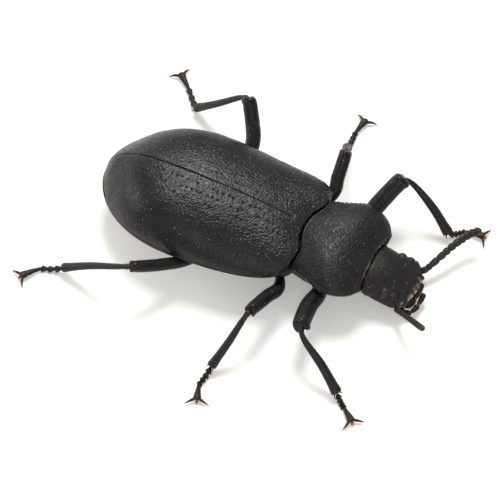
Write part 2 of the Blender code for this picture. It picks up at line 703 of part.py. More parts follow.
def tibia(name):
    path = shin_path(name, 9)
    thick = TIBIA_RADII[name.split("_")[0]]
    rows = ((0.0, 0.17), (0.1, 0.2), (0.5, 0.9 * thick), (0.9, 1.15 * thick), (1.0, thick))
    radii = [blend(i / (len(path) - 1), rows)[0] for i in range(len(path))]
    along = (path[-1] - path[-2]).normalized()
    across = along.cross(Vector((0.0, 0.0, 1.0))).normalized()
    spurs = []
    for turn in (-1.0, 1.0):
        root = path[-1] + (across * turn * 0.55 * thick - along * SPUR_SUNK) * MM
        tip = path[-1] + (across * turn * 1.2 * thick + along * (SPUR_LENGTH - SPUR_SUNK)) * MM
        spurs.append(spine(root, tip, SPUR_RADIUS))
    return combine(tube(path, radii), spurs, "UNION")


def claw(tip, ahead, across):
    """One claw that leaves a corner of the last segment and hooks down to the floor."""
    root = tip + (across * CLAW_ROOT - ahead * CLAW_ROOT) * MM
    out = (ahead * math.cos(CLAW_SPREAD) + across * math.sin(CLAW_SPREAD)) * CLAW_LENGTH * MM
    places = []
    for share, height, _ in CLAW_STEPS:
        place = root + out * share - ahead * CLAW_HOOK * share**3 * MM
        places.append(Vector((place.x, place.y, height * MM)))
    return tube(places, [radius for _, _, radius in CLAW_STEPS], 1)


def tarsus(name):
    """A foot: short segments, a long claw segment and two claws, cut flat where it stands."""
    leg = LEGS[name]
    ankle, instep, toe = spot(*leg.ankle), spot(*leg.instep, 0.0), spot(*leg.toe, 0.0)
    heel = Vector((ankle.x, ankle.y, 0.0))
    heel += (instep - heel).normalized() * GAP * MM
    short = SHORT_SEGMENTS[name.split("_")[0]]
    points, radii = [], []
    for i in range(short):
        for part, swell in TARSUS_BEAD:
            along = (i + part) / short
            height = blend(along, TARSUS_HEIGHTS)[0]
            points.append(heel.lerp(instep, along) + Vector((0.0, 0.0, height * MM)))
            radii.append(TARSUS_RADIUS * (1.0 - 0.04 * i) * swell)
    for along, height, radius in CLAW_SEGMENT:
        points.append(instep.lerp(toe, along) + Vector((0.0, 0.0, height * MM)))
        radii.append(radius)
    ahead = (toe - instep).normalized()
    across = ahead.cross(Vector((0.0, 0.0, 1.0)))
    foot = combine(tube(points, radii), [claw(toe, ahead, across), claw(toe, ahead, -across)], "UNION")
    return combine(foot, [floor_block()], "DIFFERENCE")


def coxae(pair):
    """The round hips of one pair of legs."""
    centres = [spot(*LEGS[pair + side].coxa) for side in ("_left", "_right")]
    return [ellipsoid(centre, [COXA_RADIUS] * 3, 12, 8) for centre in centres]


def grooves(*names):
    """Room for the thighs, wider than they are by the gap."""
    return [femur(name, GAP) for name in names]


def build_trunk(beetle):
    reach = PRONOTUM_FRONT - PRONOTUM_BACK
    rings = [prothorax_ring(PRONOTUM_BACK + reach * i / (PRONOTUM_RINGS - 1)) for i in range(PRONOTUM_RINGS)]
    prothorax = combine(loft(rings), coxae("front") + pronotum_teeth(1) + pronotum_teeth(-1), "UNION")
    prothorax = combine(prothorax, [neck_socket(), *grooves("front_left", "front_right")], "DIFFERENCE")
    add_node("prothorax", prothorax, spot(0.0, 0.0, 2.5), SHELL, beetle)

    for name, side in (("wing_case_left", 1), ("wing_case_right", -1)):
        add_node(name, wing_case(side), spot(-WING_START, 0.0, 3.0), SHELL, beetle)

    reach = THORAX_END - THORAX_START
    rings = [underside_ring(THORAX_START + reach * i / (THORAX_RINGS - 1)) for i in range(THORAX_RINGS)]
    thorax = combine(loft(rings), coxae("middle") + coxae("hind"), "UNION")
    thorax = combine(thorax, grooves("middle_left", "middle_right", "hind_left", "hind_right"), "DIFFERENCE")
    add_node("thorax_underside", thorax, spot(-THORAX_START, 0.0, 2.0), SHELL, beetle)

    rings = []
    start = THORAX_END + GAP
    for end in (*VENTRITE_ENDS, ABDOMEN_END):
        for along in (0.0, 0.5, 0.94):
            step = VENTRITE_STEP if along == 0.0 else 0.0
            rings.append(underside_ring(start + (end - start) * along, 1.0 - step))
        start = end
    rings.append(underside_ring(ABDOMEN_END, BELLY_TIP_DEPTH))
    abdomen = combine(loft(rings), grooves("hind_left", "hind_right"), "DIFFERENCE")
    add_node("abdomen", abdomen, spot(-THORAX_END - GAP, 0.0, 2.0), SHELL, beetle)


def build_legs(beetle):
    for name, leg in LEGS.items():
        add_node(name + "_femur", femur(name), spot(*leg.coxa), LIMB, beetle)
        add_node(name + "_tibia", tibia(name), spot(*leg.knee), LIMB, beetle)
        add_node(name + "_tarsus", tarsus(name), spot(*leg.ankle), FOOT, beetle)


def main():
    for obj in list(bpy.data.objects):
        bpy.data.objects.remove(obj)
    collection = bpy.data.collections.new("darkling_beetle")
    bpy.context.scene.collection.children.link(collection)
    beetle = bpy.data.objects.new("beetle", None)
    collection.objects.link(beetle)
    beetle.location = -spot(STANCE_FORWARD, STANCE_LEFT, 0.0)
    build_trunk(beetle)
    build_head(beetle)
    build_mouth(beetle)
    build_antenna("antenna_left", ANTENNA_LEFT, beetle)
    build_antenna("antenna_right", ANTENNA_RIGHT, beetle)
    build_legs(beetle)


main()
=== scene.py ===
"""Looks of the serrated darkling beetle: pitted shell, jointed limbs, hairs, studio floor and light.

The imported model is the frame. Every piece is worked out in millimetres on the body, as (forward, left, up)
from the waist and the floor, and put into the frame by placed().
"""

import math

import bmesh
import bpy
import numpy as np
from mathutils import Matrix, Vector


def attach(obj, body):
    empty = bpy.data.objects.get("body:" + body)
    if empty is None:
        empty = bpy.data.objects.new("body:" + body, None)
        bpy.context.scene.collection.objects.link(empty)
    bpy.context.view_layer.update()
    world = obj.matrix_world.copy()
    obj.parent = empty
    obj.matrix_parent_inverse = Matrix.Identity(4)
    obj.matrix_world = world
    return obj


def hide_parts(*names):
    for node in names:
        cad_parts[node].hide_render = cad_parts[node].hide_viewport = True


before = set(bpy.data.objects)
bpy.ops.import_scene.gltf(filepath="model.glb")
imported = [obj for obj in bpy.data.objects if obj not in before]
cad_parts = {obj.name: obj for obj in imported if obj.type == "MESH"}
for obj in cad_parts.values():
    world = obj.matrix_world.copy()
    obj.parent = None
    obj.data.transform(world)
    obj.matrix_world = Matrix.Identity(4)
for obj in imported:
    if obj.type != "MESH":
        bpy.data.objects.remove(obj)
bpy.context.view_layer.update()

MM = 0.001
UP = np.array([0.0, 0.0, 1.0])
FORWARD = np.array([1.0, 0.0, 0.0])

# Where the middle of the whole stance lies, seen from the waist
STANCE_FORWARD = -3.716
STANCE_LEFT = -0.489

# Wing cases, measured backward from the waist
WING_START = 0.4
WING_END = 14.66
WING_HALF_WIDTH = 4.95
WING_WIDEST = 7.0
WING_TIP_POWER = 2.33
WING_TIP_ROOT = 1.9
SHOULDER_LENGTH = 6.0
SHOULDER_TAPER = 0.18
SHOULDER_CORNER = 0.10
SHOULDER_CORNER_LENGTH = 0.4
SHOULDER_REACH = 0.25
SHOULDER_REACH_LENGTH = 2.5
BASE_SKEW = 0.05
BASE_WAVE = 0.32
WING_BASE_WAVE = 0.43
WING_BASE_REACH = 0.14
BASE_LENGTH = 3.0
BASE_HOLLOW = 0.12
WING_MARGIN_HEIGHT = 2.8
WING_MARGIN_FRONT_RISE = 0.2
WING_SHOULDER_RISE = 0.32
WING_SHOULDER_LENGTH = 2.6
WING_MARGIN_REAR_FALL = 0.12
WING_CREST_HEIGHT = 4.65
WING_CREST_RISE = 0.12
WING_CREST_FALL_START = 5.14
WING_CREST_POWER = 3.4
WING_CREST_ROOT = 1.68
WING_BASE_ROUNDING = 0.5
WING_BASE_LENGTH = 1.6
WING_BULGE = 2.2
WING_BULGE_ROWS = ((0.4, 2.15), (4.0, 1.97), (7.0, 2.42), (9.5, 2.49), (12.0, 1.95), (13.2, 1.48),
                   (14.6, 1.36))
WING_SWAY = 0.25
WING_SWAY_START = 9.0
WING_LIP_DEPTH = 0.25
WING_LIP_INSET = 0.2
WING_RINGS = 560
WING_ARC = 210
SUTURE_HALF_WIDTH = 0.006
SUTURE_REACH = 0.048
SUTURE_DEPTH = 0.05
PIT_ROWS = 9
PIT_ROW_SPACING = 0.66
PIT_ROW_SPREAD = 0.26
PIT_SPACING = 0.37
PIT_LENGTH = 0.065
PIT_WIDTH = 0.047
PIT_DEPTH = 0.075
PIT_ROW_STAGGER = 0.37
WRINKLE_SIZE = 0.18
WRINKLE_DEPTH = 0.0165

# Rolled rims at the ends of the shells: rows of (way ahead, share of the way to the middle)
BASE_ROLLS = ((0.005, 0.30), (0.005, 0.12), (0.0035, 0.04), (0.0015, 0.0))
COLLAR_ROLLS = ((-0.02, 0.03), (-0.10, 0.06), (-0.35, 0.10), (-0.9, 0.16))
COLLAR_LIFT = 0.12
FACE_ROLLS = ((0.03, 0.05), (0.05, 0.15), (0.04, 0.4), (0.0, 0.7))
# Relief that the paint gives the rolled rims, so that they are painted darker: painted shade
ROLL_SHADE_RELIEF = -0.06

# Pronotum and the underside of the prothorax
PRONOTUM_BACK = -0.05
PRONOTUM_FRONT = 4.62
PRONOTUM_HALF_WIDTH = 3.84
PRONOTUM_ROWS = ((-0.05, 3.02), (0.5, 3.12), (1.0, 3.28), (1.6, 3.55), (2.1, 3.76), (2.55, 3.84),
                 (3.0, 3.80), (3.4, 3.68), (3.8, 3.47), (4.2, 3.12), (4.62, 2.50))
PRONOTUM_TURN = math.radians(2.5)
PRONOTUM_CENTRE = 2.3
PRONOTUM_MARGIN_HEIGHT = 3.0
PRONOTUM_MARGIN_FALL = 0.35
PRONOTUM_CREST_HEIGHT = 4.28
PRONOTUM_CREST_FORWARD = 1.7
PRONOTUM_CREST_REAR_FALL = 0.25
PRONOTUM_CREST_FRONT_FALL = 1.08
PRONOTUM_BULGE = 2.2
PRONOTUM_CURL = 0.25
PRONOTUM_LIP = 0.16
PRONOTUM_CORNER_REACH = 0.10
PRONOTUM_RINGS = 240
PRONOTUM_ARC = 380
STERNUM_ARC = 70
STERNUM_KEEL = 1.1
STERNUM_REAR_KEEL = 4.0
STERNUM_ROWS = ((0.0, 1.75), (1.2, 1.5), (2.4, 1.35), (4.6, 1.2))
TOOTH_FIRST = 0.45
TOOTH_LAST = 2.7
TOOTH_SPACING = 0.27
TOOTH_REACH = 0.11
GRAIN_SIZE = 0.15
PRONOTUM_GRAIN_HEIGHT = 0.027
HEAD_GRAIN_HEIGHT = 0.026

# Underside of the body, measured backward from the waist
THORAX_START = 0.1
THORAX_END = 7.1
ABDOMEN_END = 14.0
BELLY_HEIGHT = 1.5
BELLY_INSET = 0.55
BELLY_KEEL = 1.4
BELLY_FRONT_KEEL = 2.4
BELLY_FRONT_REACH = 0.4
BELLY_FRONT_LENGTH = 1.6
VENTRITE_ENDS = (8.9, 10.4, 11.8, 12.9, 14.0)
VENTRITE_STEP = 0.1

# Head: forward, half width, top and bottom of the capsule along its length
HEAD_ROWS = (
    (4.10, 1.00, 2.50, 1.50),
    (4.60, 1.84, 2.84, 1.12),
    (5.20, 1.95, 2.77, 0.92),
    (5.90, 1.98, 2.54, 0.75),
    (6.60, 2.03, 2.22, 0.66),
    (7.00, 2.02, 1.98, 0.66),
    (7.40, 1.94, 1.73, 0.72),
    (7.76, 1.70, 1.45, 0.84),
)
HEAD_BULGE = 2.1
HEAD_WIDEST_LEVEL = 0.35
HEAD_CENTRE_ROWS = ((4.6, -0.16), (6.0, -0.04), (7.2, 0.04))
HEAD_BACK_LEVEL = 0.15
HEAD_BACK_BULGE = 0.5
HEAD_FRONT_BULGE = 0.7
HEAD_FRONT_LEVEL = 0.22
HEAD_BACK_END = 6.0
HEAD_FRONT_CURVE = 0.17
HEAD_RINGS = 210
HEAD_SIDES = 340
EYE_CENTRE = (6.08, 1.50, 1.72)
EYE_RADII = (0.40, 0.44, 0.44)

# Forms on the sides of the head: (forward, length), (up, height) and how far out each one sets in
HEAD_LOBE = ((6.72, 0.28), (1.72, 0.17), (1.2, 1.6))
HEAD_BROW = ((7.12, 0.34), (1.40, 0.26), (1.2, 1.7))
EYE_SOCKET = ((6.08, 0.33), (1.96, 0.28), (1.2, 1.5))
ANTENNA_SOCKET = ((7.1, 0.22), (0.98, 0.2), (1.3, 1.7))

# Mouth parts. A profile is rows of (share of the length, radius).
LABRUM_FRONT = 7.94
LABRUM_HALF_WIDTHS = (0.02, 0.52, 0.64, 0.66, 0.60, 0.44, 0.26, 0.02)
LABRUM_REACHES = (-0.12, -0.12, -0.06, 0.05, 0.13, 0.18, 0.20, 0.20)
MANDIBLE_PLACES = ((7.25, 0.95, 0.42), (7.55, 0.88, 0.48), (7.75, 0.6, 0.53), (7.82, 0.24, 0.56))
MANDIBLE_PROFILE = ((0.0, 0.05), (0.08, 0.2), (0.3, 0.27), (0.6, 0.22), (0.85, 0.15), (1.0, 0.02))
PALP_PROFILE = ((0.0, 0.07), (0.08, 0.11), (0.35, 0.165), (0.75, 0.195), (0.93, 0.17), (1.0, 0.06))
PALPS = {
    "palp_left": dict(
        joints=(0.0, 0.22, 0.62, 1.0),
        places=((6.7, 1.0, 0.3), (7.05, 1.45, 0.32), (7.38, 1.62, 0.34), (7.62, 1.44, 0.34)),
    ),
    "palp_right": dict(
        joints=(0.0, 0.14, 0.44, 0.68, 1.0),
        places=((7.0, -0.95, 0.22), (7.42, -1.4, 0.32), (7.85, -1.5, 0.48), (8.13, -1.05, 0.56),
                (8.24, -0.35, 0.68), (8.24, 0.16, 0.78)),
    ),
}

# Feelers: eleven segments that widen to the tip
ANTENNA_SEGMENTS = (0.62, 0.24, 0.62, 0.46, 0.44, 0.42, 0.40, 0.38, 0.36, 0.36, 0.44)
SEGMENT_PROFILE = ((0.0, 0.7), (0.12, 0.82), (0.4, 0.96), (0.72, 1.0), (0.92, 0.88), (1.0, 0.6))
ANTENNAE = {
    "antenna_left": dict(
        thickness=(0.46, 0.58),
        places=((7.2, 1.86, 0.75), (7.62, 1.86, 0.95), (8.23, 2.89, 1.35), (8.82, 4.14, 1.6),
                (9.56, 5.28, 1.8), (10.1, 5.74, 1.85)),
    ),
    "antenna_right": dict(
        thickness=(0.37, 0.44),
        places=((7.05, -1.93, 1.0), (7.58, -2.36, 1.5), (8.45, -3.05, 2.2), (9.92, -4.22, 3.32)),
    ),
}

# Legs
FEMUR_RADII = {"front_left": 0.58, "front_right": 0.58, "middle_left": 0.44, "middle_right": 0.44,
               "hind_left": 0.49, "hind_right": 0.40}
FEMUR_ROOTS = {"front": 0.79, "middle": 0.68, "hind": 0.79}
KNEE_REACH = {"front": 0.3, "middle": 0.12, "hind": 0.14}
KNEE_LOBE = 0.13
KNEE_GROOVE = 0.17
COXA_RADIUS = 0.62
TIBIA_RADII = {"front": 0.30, "middle": 0.27, "hind": 0.26}
TARSUS_RADIUS = 0.225
TARSUS_HEIGHTS = ((0.0, 0.44), (0.3, 0.28), (0.6, 0.17), (1.0, 0.17))
LONG_SEGMENT_HEIGHTS = ((0.0, 0.16), (0.12, 0.20), (0.5, 0.27), (0.9, 0.28), (1.0, 0.22))
LONG_SEGMENT_PROFILE = ((0.0, 0.05), (0.05, 0.11), (0.3, 0.15), (0.75, 0.235), (0.93, 0.27), (0.98, 0.24),
                        (1.0, 0.1))
SPUR_PROFILE = ((0.0, 0.06), (0.5, 0.045), (1.0, 0.006))
CLAW_PROFILE = ((0.0, 0.08), (0.2, 0.095), (0.6, 0.06), (1.0, 0.008))
CLAW_HEIGHTS = ((0.0, 0.22), (0.3, 0.25), (0.6, 0.19), (0.85, 0.10), (1.0, 0.02))
CLAW_ROOT = 0.14
CLAW_SPREAD = math.radians(55.0)
CLAW_LENGTH = 0.84
CLAW_HOOK = 0.16
SHORT_SEGMENTS = {"front": 4, "middle": 4, "hind": 3}
LEGS = {
    "front_left": dict(
        coxa=(1.8, 0.95, 1.15), bows=[(2.96, 4.18, 2.3), (3.44, 5.06, 2.95)], knee=(4.08, 6.11, 3.76),
        shins=[(4.74, 6.46, 3.34), (6.36, 6.11, 2.03)], ankle=(7.84, 5.54, 0.5),
        instep=(8.7, 6.36), toe=(10.08, 6.44),
    ),
    "front_right": dict(
        coxa=(1.8, -0.95, 1.15), bows=[(2.17, -3.37, 2.0), (2.1, -4.94, 2.45)], knee=(2.35, -6.81, 3.02),
        shins=[(2.87, -7.57, 2.68), (4.5, -8.39, 1.69)], ankle=(6.01, -9.29, 0.5),
        instep=(6.71, -9.93), toe=(7.69, -10.83),
    ),
    "middle_left": dict(
        coxa=(-1.6, 1.35, 1.15), bows=[(-0.08, 4.07, 2.3), (-0.08, 5.31, 3.0)], knee=(-0.1, 6.63, 4.0),
        shins=[(-0.5, 7.6, 3.2), (-0.86, 8.6, 1.8)], ankle=(-1.14, 9.53, 0.5),
        instep=(-1.21, 11.1), toe=(-0.96, 12.36),
    ),
    "middle_right": dict(
        coxa=(-1.6, -1.35, 1.15), bows=[(-0.4, -3.93, 2.1), (-0.68, -5.4, 2.6)], knee=(-1.01, -7.24, 3.32),
        shins=[(-1.25, -7.86, 2.98), (-1.74, -9.25, 1.83)], ankle=(-2.39, -10.62, 0.5),
        instep=(-2.63, -12.0), toe=(-2.24, -13.26),
    ),
    "hind_left": dict(
        coxa=(-6.2, 1.6, 1.2), bows=[(-6.45, 4.6, 1.9), (-6.55, 5.96, 2.7), (-7.05, 6.98, 3.35)],
        knee=(-7.69, 7.97, 4.35), shins=[(-8.45, 8.2, 3.83), (-10.1, 8.26, 2.28)],
        ankle=(-11.91, 8.54, 0.5), instep=(-13.08, 10.04), toe=(-14.15, 11.03),
    ),
    "hind_right": dict(
        coxa=(-6.2, -1.6, 1.2), bows=[(-6.53, -3.89, 1.85), (-8.02, -5.86, 2.75)], knee=(-9.42, -7.31, 3.6),
        shins=[(-10.6, -7.36, 3.02), (-12.61, -7.24, 1.84)], ankle=(-14.61, -7.21, 0.5),
        instep=(-15.99, -7.62), toe=(-17.01, -8.83),
    ),
}

# Hairs on each kind of skin: count, shares of its length and girth, then their length, radius and lift
TUFTS = {
    "pronotum": (260, (0.03, 0.97), (0.0, 1.0), 0.06, 0.009, 0.7),
    "head": (160, (0.25, 0.98), (0.0, 1.0), 0.06, 0.009, 0.7),
    "wing_case": (200, (0.02, 0.97), (0.0, 1.0), 0.05, 0.009, 0.7),
    "thigh": (120, (0.1, 0.85), (0.0, 1.0), 0.07, 0.009, 0.6),
    "shin": (220, (0.08, 0.98), (0.0, 1.0), 0.09, 0.007, 0.6),
    "sole": (60, (0.5, 0.95), (0.55, 0.95), 0.13, 0.010, 0.5),
    "long_segment": (50, (0.2, 0.95), (0.0, 1.0), 0.10, 0.008, 0.5),
    "feeler": (46, (0.15, 0.9), (0.0, 1.0), 0.07, 0.007, 0.6),
}

# Camera: direction back to it, its distance and the point on the floor that it looks at
CAMERA_BACK = (-0.5395, -0.2334, 0.8090)
CAMERA_DISTANCE = 0.3
CAMERA_AIM = (-0.000135, 0.000214, 0.0)
CAMERA_WIDTH_SEEN = 500.0 / 15.0 * MM
SENSOR_WIDTH = 36.0

# Studio, in metres and watts. A soft light has a place, a width and height, and a power.
FLOOR_REACH = 1.5
FLOOR_GLOW = 0.24
LIGHT_AIM = (0.0, 0.0, 0.003)
LIGHT_COLOUR = (1.0, 0.985, 0.95)
WORLD_COLOUR = (1.0, 0.985, 0.945)
WORLD_STRENGTH = 0.43
SOFT_LIGHTS = {
    "overhead": ((0.14, 0.04, 0.285), (0.105, 0.105), 0.57),
    "behind_left": ((0.20, 0.24, 0.10), (0.20, 0.15), 0.18),
    "behind_right": ((-0.05, 0.30, 0.14), (0.20, 0.15), 0.29),
    "near": ((-0.22, -0.10, 0.20), (0.20, 0.20), 0.24),
}

# Colours, in linear light
BLACK_SHELL = (0.0112, 0.0108, 0.0099)
BLACK_LIMB = (0.0050, 0.0048, 0.0043)
BLACK_SHIN = (0.0100, 0.0094, 0.0084)
BROWN_FEELER = (0.0200, 0.0165, 0.0145)
BLACK_FOOT = (0.0110, 0.0075, 0.0058)
RUSSET = (0.09, 0.030, 0.014)
AMBER = (0.42, 0.13, 0.035)
STRAW = (0.50, 0.36, 0.18)
CREAM = (0.55, 0.49, 0.40)
ORANGE = (0.42, 0.20, 0.09)
DULL_BROWN = (0.15, 0.12, 0.095)
BROWN_HAIR = ((0.10, 0.055, 0.025), (0.40, 0.28, 0.15))
PALE_HAIR = ((0.36, 0.24, 0.13), (0.80, 0.72, 0.58))

# Paint: gain of the colour on crests (painted highlight) and in pits (painted shade), the pale specks in
# millimetres, the bake map's margin
CREST_HIGHLIGHT_GAIN = 1.9
PIT_SHADE_GAIN = 0.35
SPECK_CELL = 0.2
SPECK_SIZE = 0.06
MAP_MARGIN = 0.02

generator = np.random.default_rng(18)


def placed(points):
    """Points in millimetres on the body as points of the frame, in metres."""
    points = np.asarray(points, float)
    forward, left, up = points[..., 0], points[..., 1], points[..., 2]
    return np.stack([left - STANCE_LEFT, STANCE_FORWARD - forward, up], axis=-1) * MM


def spline(rows, x):
    """Reads a smooth curve through rows of (place, value, value...) at x."""
    rows = np.asarray(rows, float)
    x = np.asarray(x, float)
    at, values = rows[:, 0], rows[:, 1:]
    last = len(rows) - 1
    k = np.clip(np.searchsorted(at, x, side="right") - 1, 0, last - 1)
    before, after = np.maximum(k - 1, 0), np.minimum(k + 2, last)
    span = (at[k + 1] - at[k])[..., None]
    t = np.clip((x - at[k])[..., None] / span, 0.0, 1.0)
    start = (values[k + 1] - values[before]) / (at[k + 1] - at[before])[..., None] * span
    end = (values[after] - values[k]) / (at[after] - at[k])[..., None] * span
    return (
        (2 * t**3 - 3 * t**2 + 1) * values[k] + (t**3 - 2 * t**2 + t) * start
        + (3 * t**2 - 2 * t**3) * values[k + 1] + (t**3 - t**2) * end
    )


def curve(rows, x):
    """Reads a smooth curve through rows of (place, value) at x."""
    return spline(rows, x)[..., 0]


def spread(count):
    return np.linspace(0.0, 1.0, count)


def read_path(path, along, want):
    return np.column_stack([np.interp(want, along, path[:, i]) for i in range(3)])


def even_path(places, count):
    """Points spread evenly along a smooth curve through some places."""
    places = np.asarray(places, float)
    rows = np.column_stack([np.arange(len(places)), places])
    fine = spline(rows, np.linspace(0, len(places) - 1, 40 * len(places)))
    along = np.concatenate([[0.0], np.cumsum(np.linalg.norm(np.diff(fine, axis=0), axis=1))])
    return read_path(fine, along, np.linspace(0.0, along[-1], count))


def beyond(path, distance):
    """The points of a path farther than a distance from its start."""
    return path[np.linalg.norm(path - path[0], axis=1) > distance]


def unit(vectors):
    return vectors / (np.linalg.norm(vectors, axis=-1, keepdims=True) + 1e-12)


def hill(x, centre, width):
    """A smooth bump of height 1."""
    return np.exp(-(((x - centre) / width) ** 2))


def step(x, low, high):
    """Rises smoothly from 0 at low to 1 at high."""
    t = np.clip((x - low) / (high - low), 0.0, 1.0)
    return t * t * (3.0 - 2.0 * t)


def fade(x, length):
    """Falls evenly from 1 at 0 to 0 at a length."""
    return np.maximum(1.0 - x / length, 0.0)


def closing(x, start, end, power, root):
    """Falls from 1 at start to 0 at end, as the outline of a rounded tip does."""
    t = np.clip((x - start) / (end - start), 0.0, 1.0)
    return (1.0 - t**power) ** (1.0 / root)


def keel(across, power):
    """Depth of a keeled arch at a share of its half width."""
    return np.maximum(1.0 - np.abs(across) ** power, 0.0) ** (1.0 / power)


def vault(angle, power):
    return np.maximum(np.cos(angle), 0.0) ** power


def base_hollow(edge):
    """How far the middle of a shell's base draws back from its corners."""
    return BASE_HOLLOW * (1.0 - np.minimum(edge, 1.0) ** 2)


def power_sign(x, power):
    return np.sign(x) * np.abs(x) ** power


def scatter(cell, seed):
    """A fixed random place inside each whole-numbered cell of space, as three shares of its width."""
    mixed = (cell[..., 0] * 73856093) ^ (cell[..., 1] * 19349663) ^ (cell[..., 2] * 83492791) ^ (seed * 40503)
    shares = []
    for _ in range(3):
        mixed = (mixed ^ (mixed >> 15)) & 0xFFFFFFFF
        mixed = (mixed * 0x2C1B3C6D) & 0xFFFFFFFF
        mixed = (mixed ^ (mixed >> 12)) & 0xFFFFFFFF
        mixed = (mixed * 0x297A2D39) & 0xFFFFFFFF
        shares.append(((mixed ^ (mixed >> 15)) & 0xFFFF) / 65535.0)
    return np.stack(shares, axis=-1)


def cell_distances(points, size, seed):
    """Distances, in cell widths, to the nearest and the next of scattered points about a size apart."""
    place = points.reshape(-1, 3) / size
    base = np.floor(place).astype(np.int64)
    first = np.full(len(place), 9.0)
    second = np.full(len(place), 9.0)
    for offset in np.ndindex(3, 3, 3):
        cell = base + np.array(offset) - 1
        distance = np.linalg.norm(cell + scatter(cell, seed) - place, axis=1)
        second = np.where(distance < first, first, np.minimum(second, distance))
        first = np.minimum(first, distance)
    return first.reshape(points.shape[:-1]), second.reshape(points.shape[:-1])


def soft_noise(points, size, seed):
    """Smooth noise from -1 to 1 whose features are about a size across."""
    place = points.reshape(-1, 3) / size
    base = np.floor(place).astype(np.int64)
    t = place - base
    t = t * t * (3.0 - 2.0 * t)
    total = np.zeros(len(place))
    for offset in np.ndindex(2, 2, 2):
        corner = np.array(offset)
        weight = np.prod(np.where(corner == 1, t, 1.0 - t), axis=1)
        total += weight * scatter(base + corner, seed)[:, 0]
    return (2.0 * total - 1.0).reshape(points.shape[:-1])


class Surface:
    """A closed skin: rings of points in body millimetres, with values at each point for the paint."""

    def __init__(self, points):
        self.points = np.asarray(points, float)
        self.relief_shade, self.warm, self.gloss = np.zeros((3, *self.points.shape[:2]))

    def normals(self):
        along = np.gradient(self.points, axis=0)
        around = np.roll(self.points, -1, axis=1) - np.roll(self.points, 1, axis=1)
        out = unit(np.cross(around, along))
        middle = self.points.mean(axis=1, keepdims=True)
        return out if np.sum(out * (self.points - middle)) > 0.0 else -out

    def emboss(self, height, shows=1.0):
        """Raises the skin by a height in millimetres, and notes its pits and crests for the paint, which
        paints shade in the pits and a highlight on the crests.
        """
        self.points = self.points + self.normals() * np.asarray(height)[..., None]
        self.relief_shade = self.relief_shade + np.asarray(height) * shows
        return self

    def roughen(self, height, size, seed):
        return self.emboss(height * soft_noise(self.points, size, seed))

    def tint(self, warm):
        """Warms the colour of each ring."""
        self.warm = self.warm + np.reshape(warm, (-1, 1))
        return self

    def rolled(self, rolls, first=False, lift=0.0, relief_shade=ROLL_SHADE_RELIEF, warm=0.0):
        """The same skin with its first or last ring rolled in, so that the edge there is round."""
        at = 0 if first else -1
        edge = self.points[at]
        inward = edge.mean(axis=0) + UP * lift - edge
        rings = np.stack([edge + inward * share + FORWARD * ahead for ahead, share in rolls])
        order = -1 if first else 1
        grown = Surface(np.concatenate([self.points, rings][::order]))
        blank = np.zeros(rings.shape[:2])
        # The rolled rings take the given relief, by default one that paints them darker as painted shade, and
        # a share of the edge's warmth.
        added = {"relief_shade": blank + relief_shade, "warm": blank + warm * self.warm[at], "gloss": blank}
        for label, values in added.items():
            setattr(grown, label, np.concatenate([getattr(self, label), values][::order]))
        return grown


def ring_faces(rows, columns, first):
    """Quads between neighbouring rings, and a face over each end."""
    i, j = np.meshgrid(np.arange(rows - 1), np.arange(columns), indexing="ij")
    here, beside = i * columns + j, i * columns + (j + 1) % columns
    quads = np.stack([here, beside, beside + columns, here + columns], axis=-1)
    faces = (quads.reshape(-1, 4) + first).tolist()
    faces.append(list(range(first, first + columns)))
    faces.append(list(range(first + (rows - 1) * columns, first + rows * columns)))
    return faces


def tile_places(rows, columns, tile, tiles):
    """Where a grid's points lie on the square bake map, one tile for each surface of the piece."""
    side = math.ceil(math.sqrt(tiles))
    ends = (MAP_MARGIN, 1.0 - MAP_MARGIN)
    u, v = np.meshgrid(np.linspace(*ends, rows), np.linspace(*ends, columns), indexing="ij")
    return np.stack([(u + tile % side) / side, (v + tile // side) / side], axis=-1).reshape(-1, 2)


def add_mesh(name, points, faces, material, attributes, places):
    """A mesh on the body, with its values for the paint and its places on the bake map."""
    mesh = bpy.data.meshes.new(name)
    mesh.from_pydata(points.tolist(), [], faces)
    for label, values in attributes.items():
        layer = mesh.attributes.new(label, "FLOAT", "POINT")
        layer.data.foreach_set("value", np.asarray(values, np.float32))
    corners = np.zeros(len(mesh.loops), np.int32)
    mesh.loops.foreach_get("vertex_index", corners)
    layer = mesh.uv_layers.new(name="OFBake")
    layer.uv.foreach_set("vector", places[corners].astype(np.float32).ravel())
    bm = bmesh.new()
    bm.from_mesh(mesh)
    bmesh.ops.recalc_face_normals(bm, faces=bm.faces)
    bm.to_mesh(mesh)
    bm.free()
    mesh.shade_smooth()
    mesh.materials.append(material)
    piece = bpy.data.objects.new(name, mesh)
    bpy.context.scene.collection.objects.link(piece)
    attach(piece, "root")
    return piece


def add_piece(node, kind, surfaces, material):
    """One piece of the beetle, made of closed skins, in the place of a CAD node."""
    faces, places = [], []
    first = 0
    for i, surface in enumerate(surfaces):
        rows, columns = surface.points.shape[:2]
        faces += ring_faces(rows, columns, first)
        places.append(tile_places(rows, columns, i, len(surfaces)))
        first += rows * columns
    points = np.concatenate([placed(surface.points).reshape(-1, 3) for surface in surfaces])
    attributes = {label: np.concatenate([getattr(surface, label).ravel() for surface in surfaces])
                  for label in ("relief_shade", "warm", "gloss")}
    piece = add_mesh(node + "_" + kind, points, faces, material, attributes, np.concatenate(places))
    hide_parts(node)


def limb(path, wide, high, sides=48):
    """A skin round a path, with its half width and half height at each point."""
    along = unit(np.gradient(path, axis=0))
    across = unit(np.cross(along, UP))
    upright = np.cross(across, along)
    angle = np.linspace(0.0, 2.0 * math.pi, sides, endpoint=False)
    cosine, sine = np.cos(angle)[None, :, None], np.sin(angle)[None, :, None]
    wide, high = wide[:, None, None], high[:, None, None]
    return Surface(path[:, None] + across[:, None] * cosine * wide + upright[:, None] * sine * high)


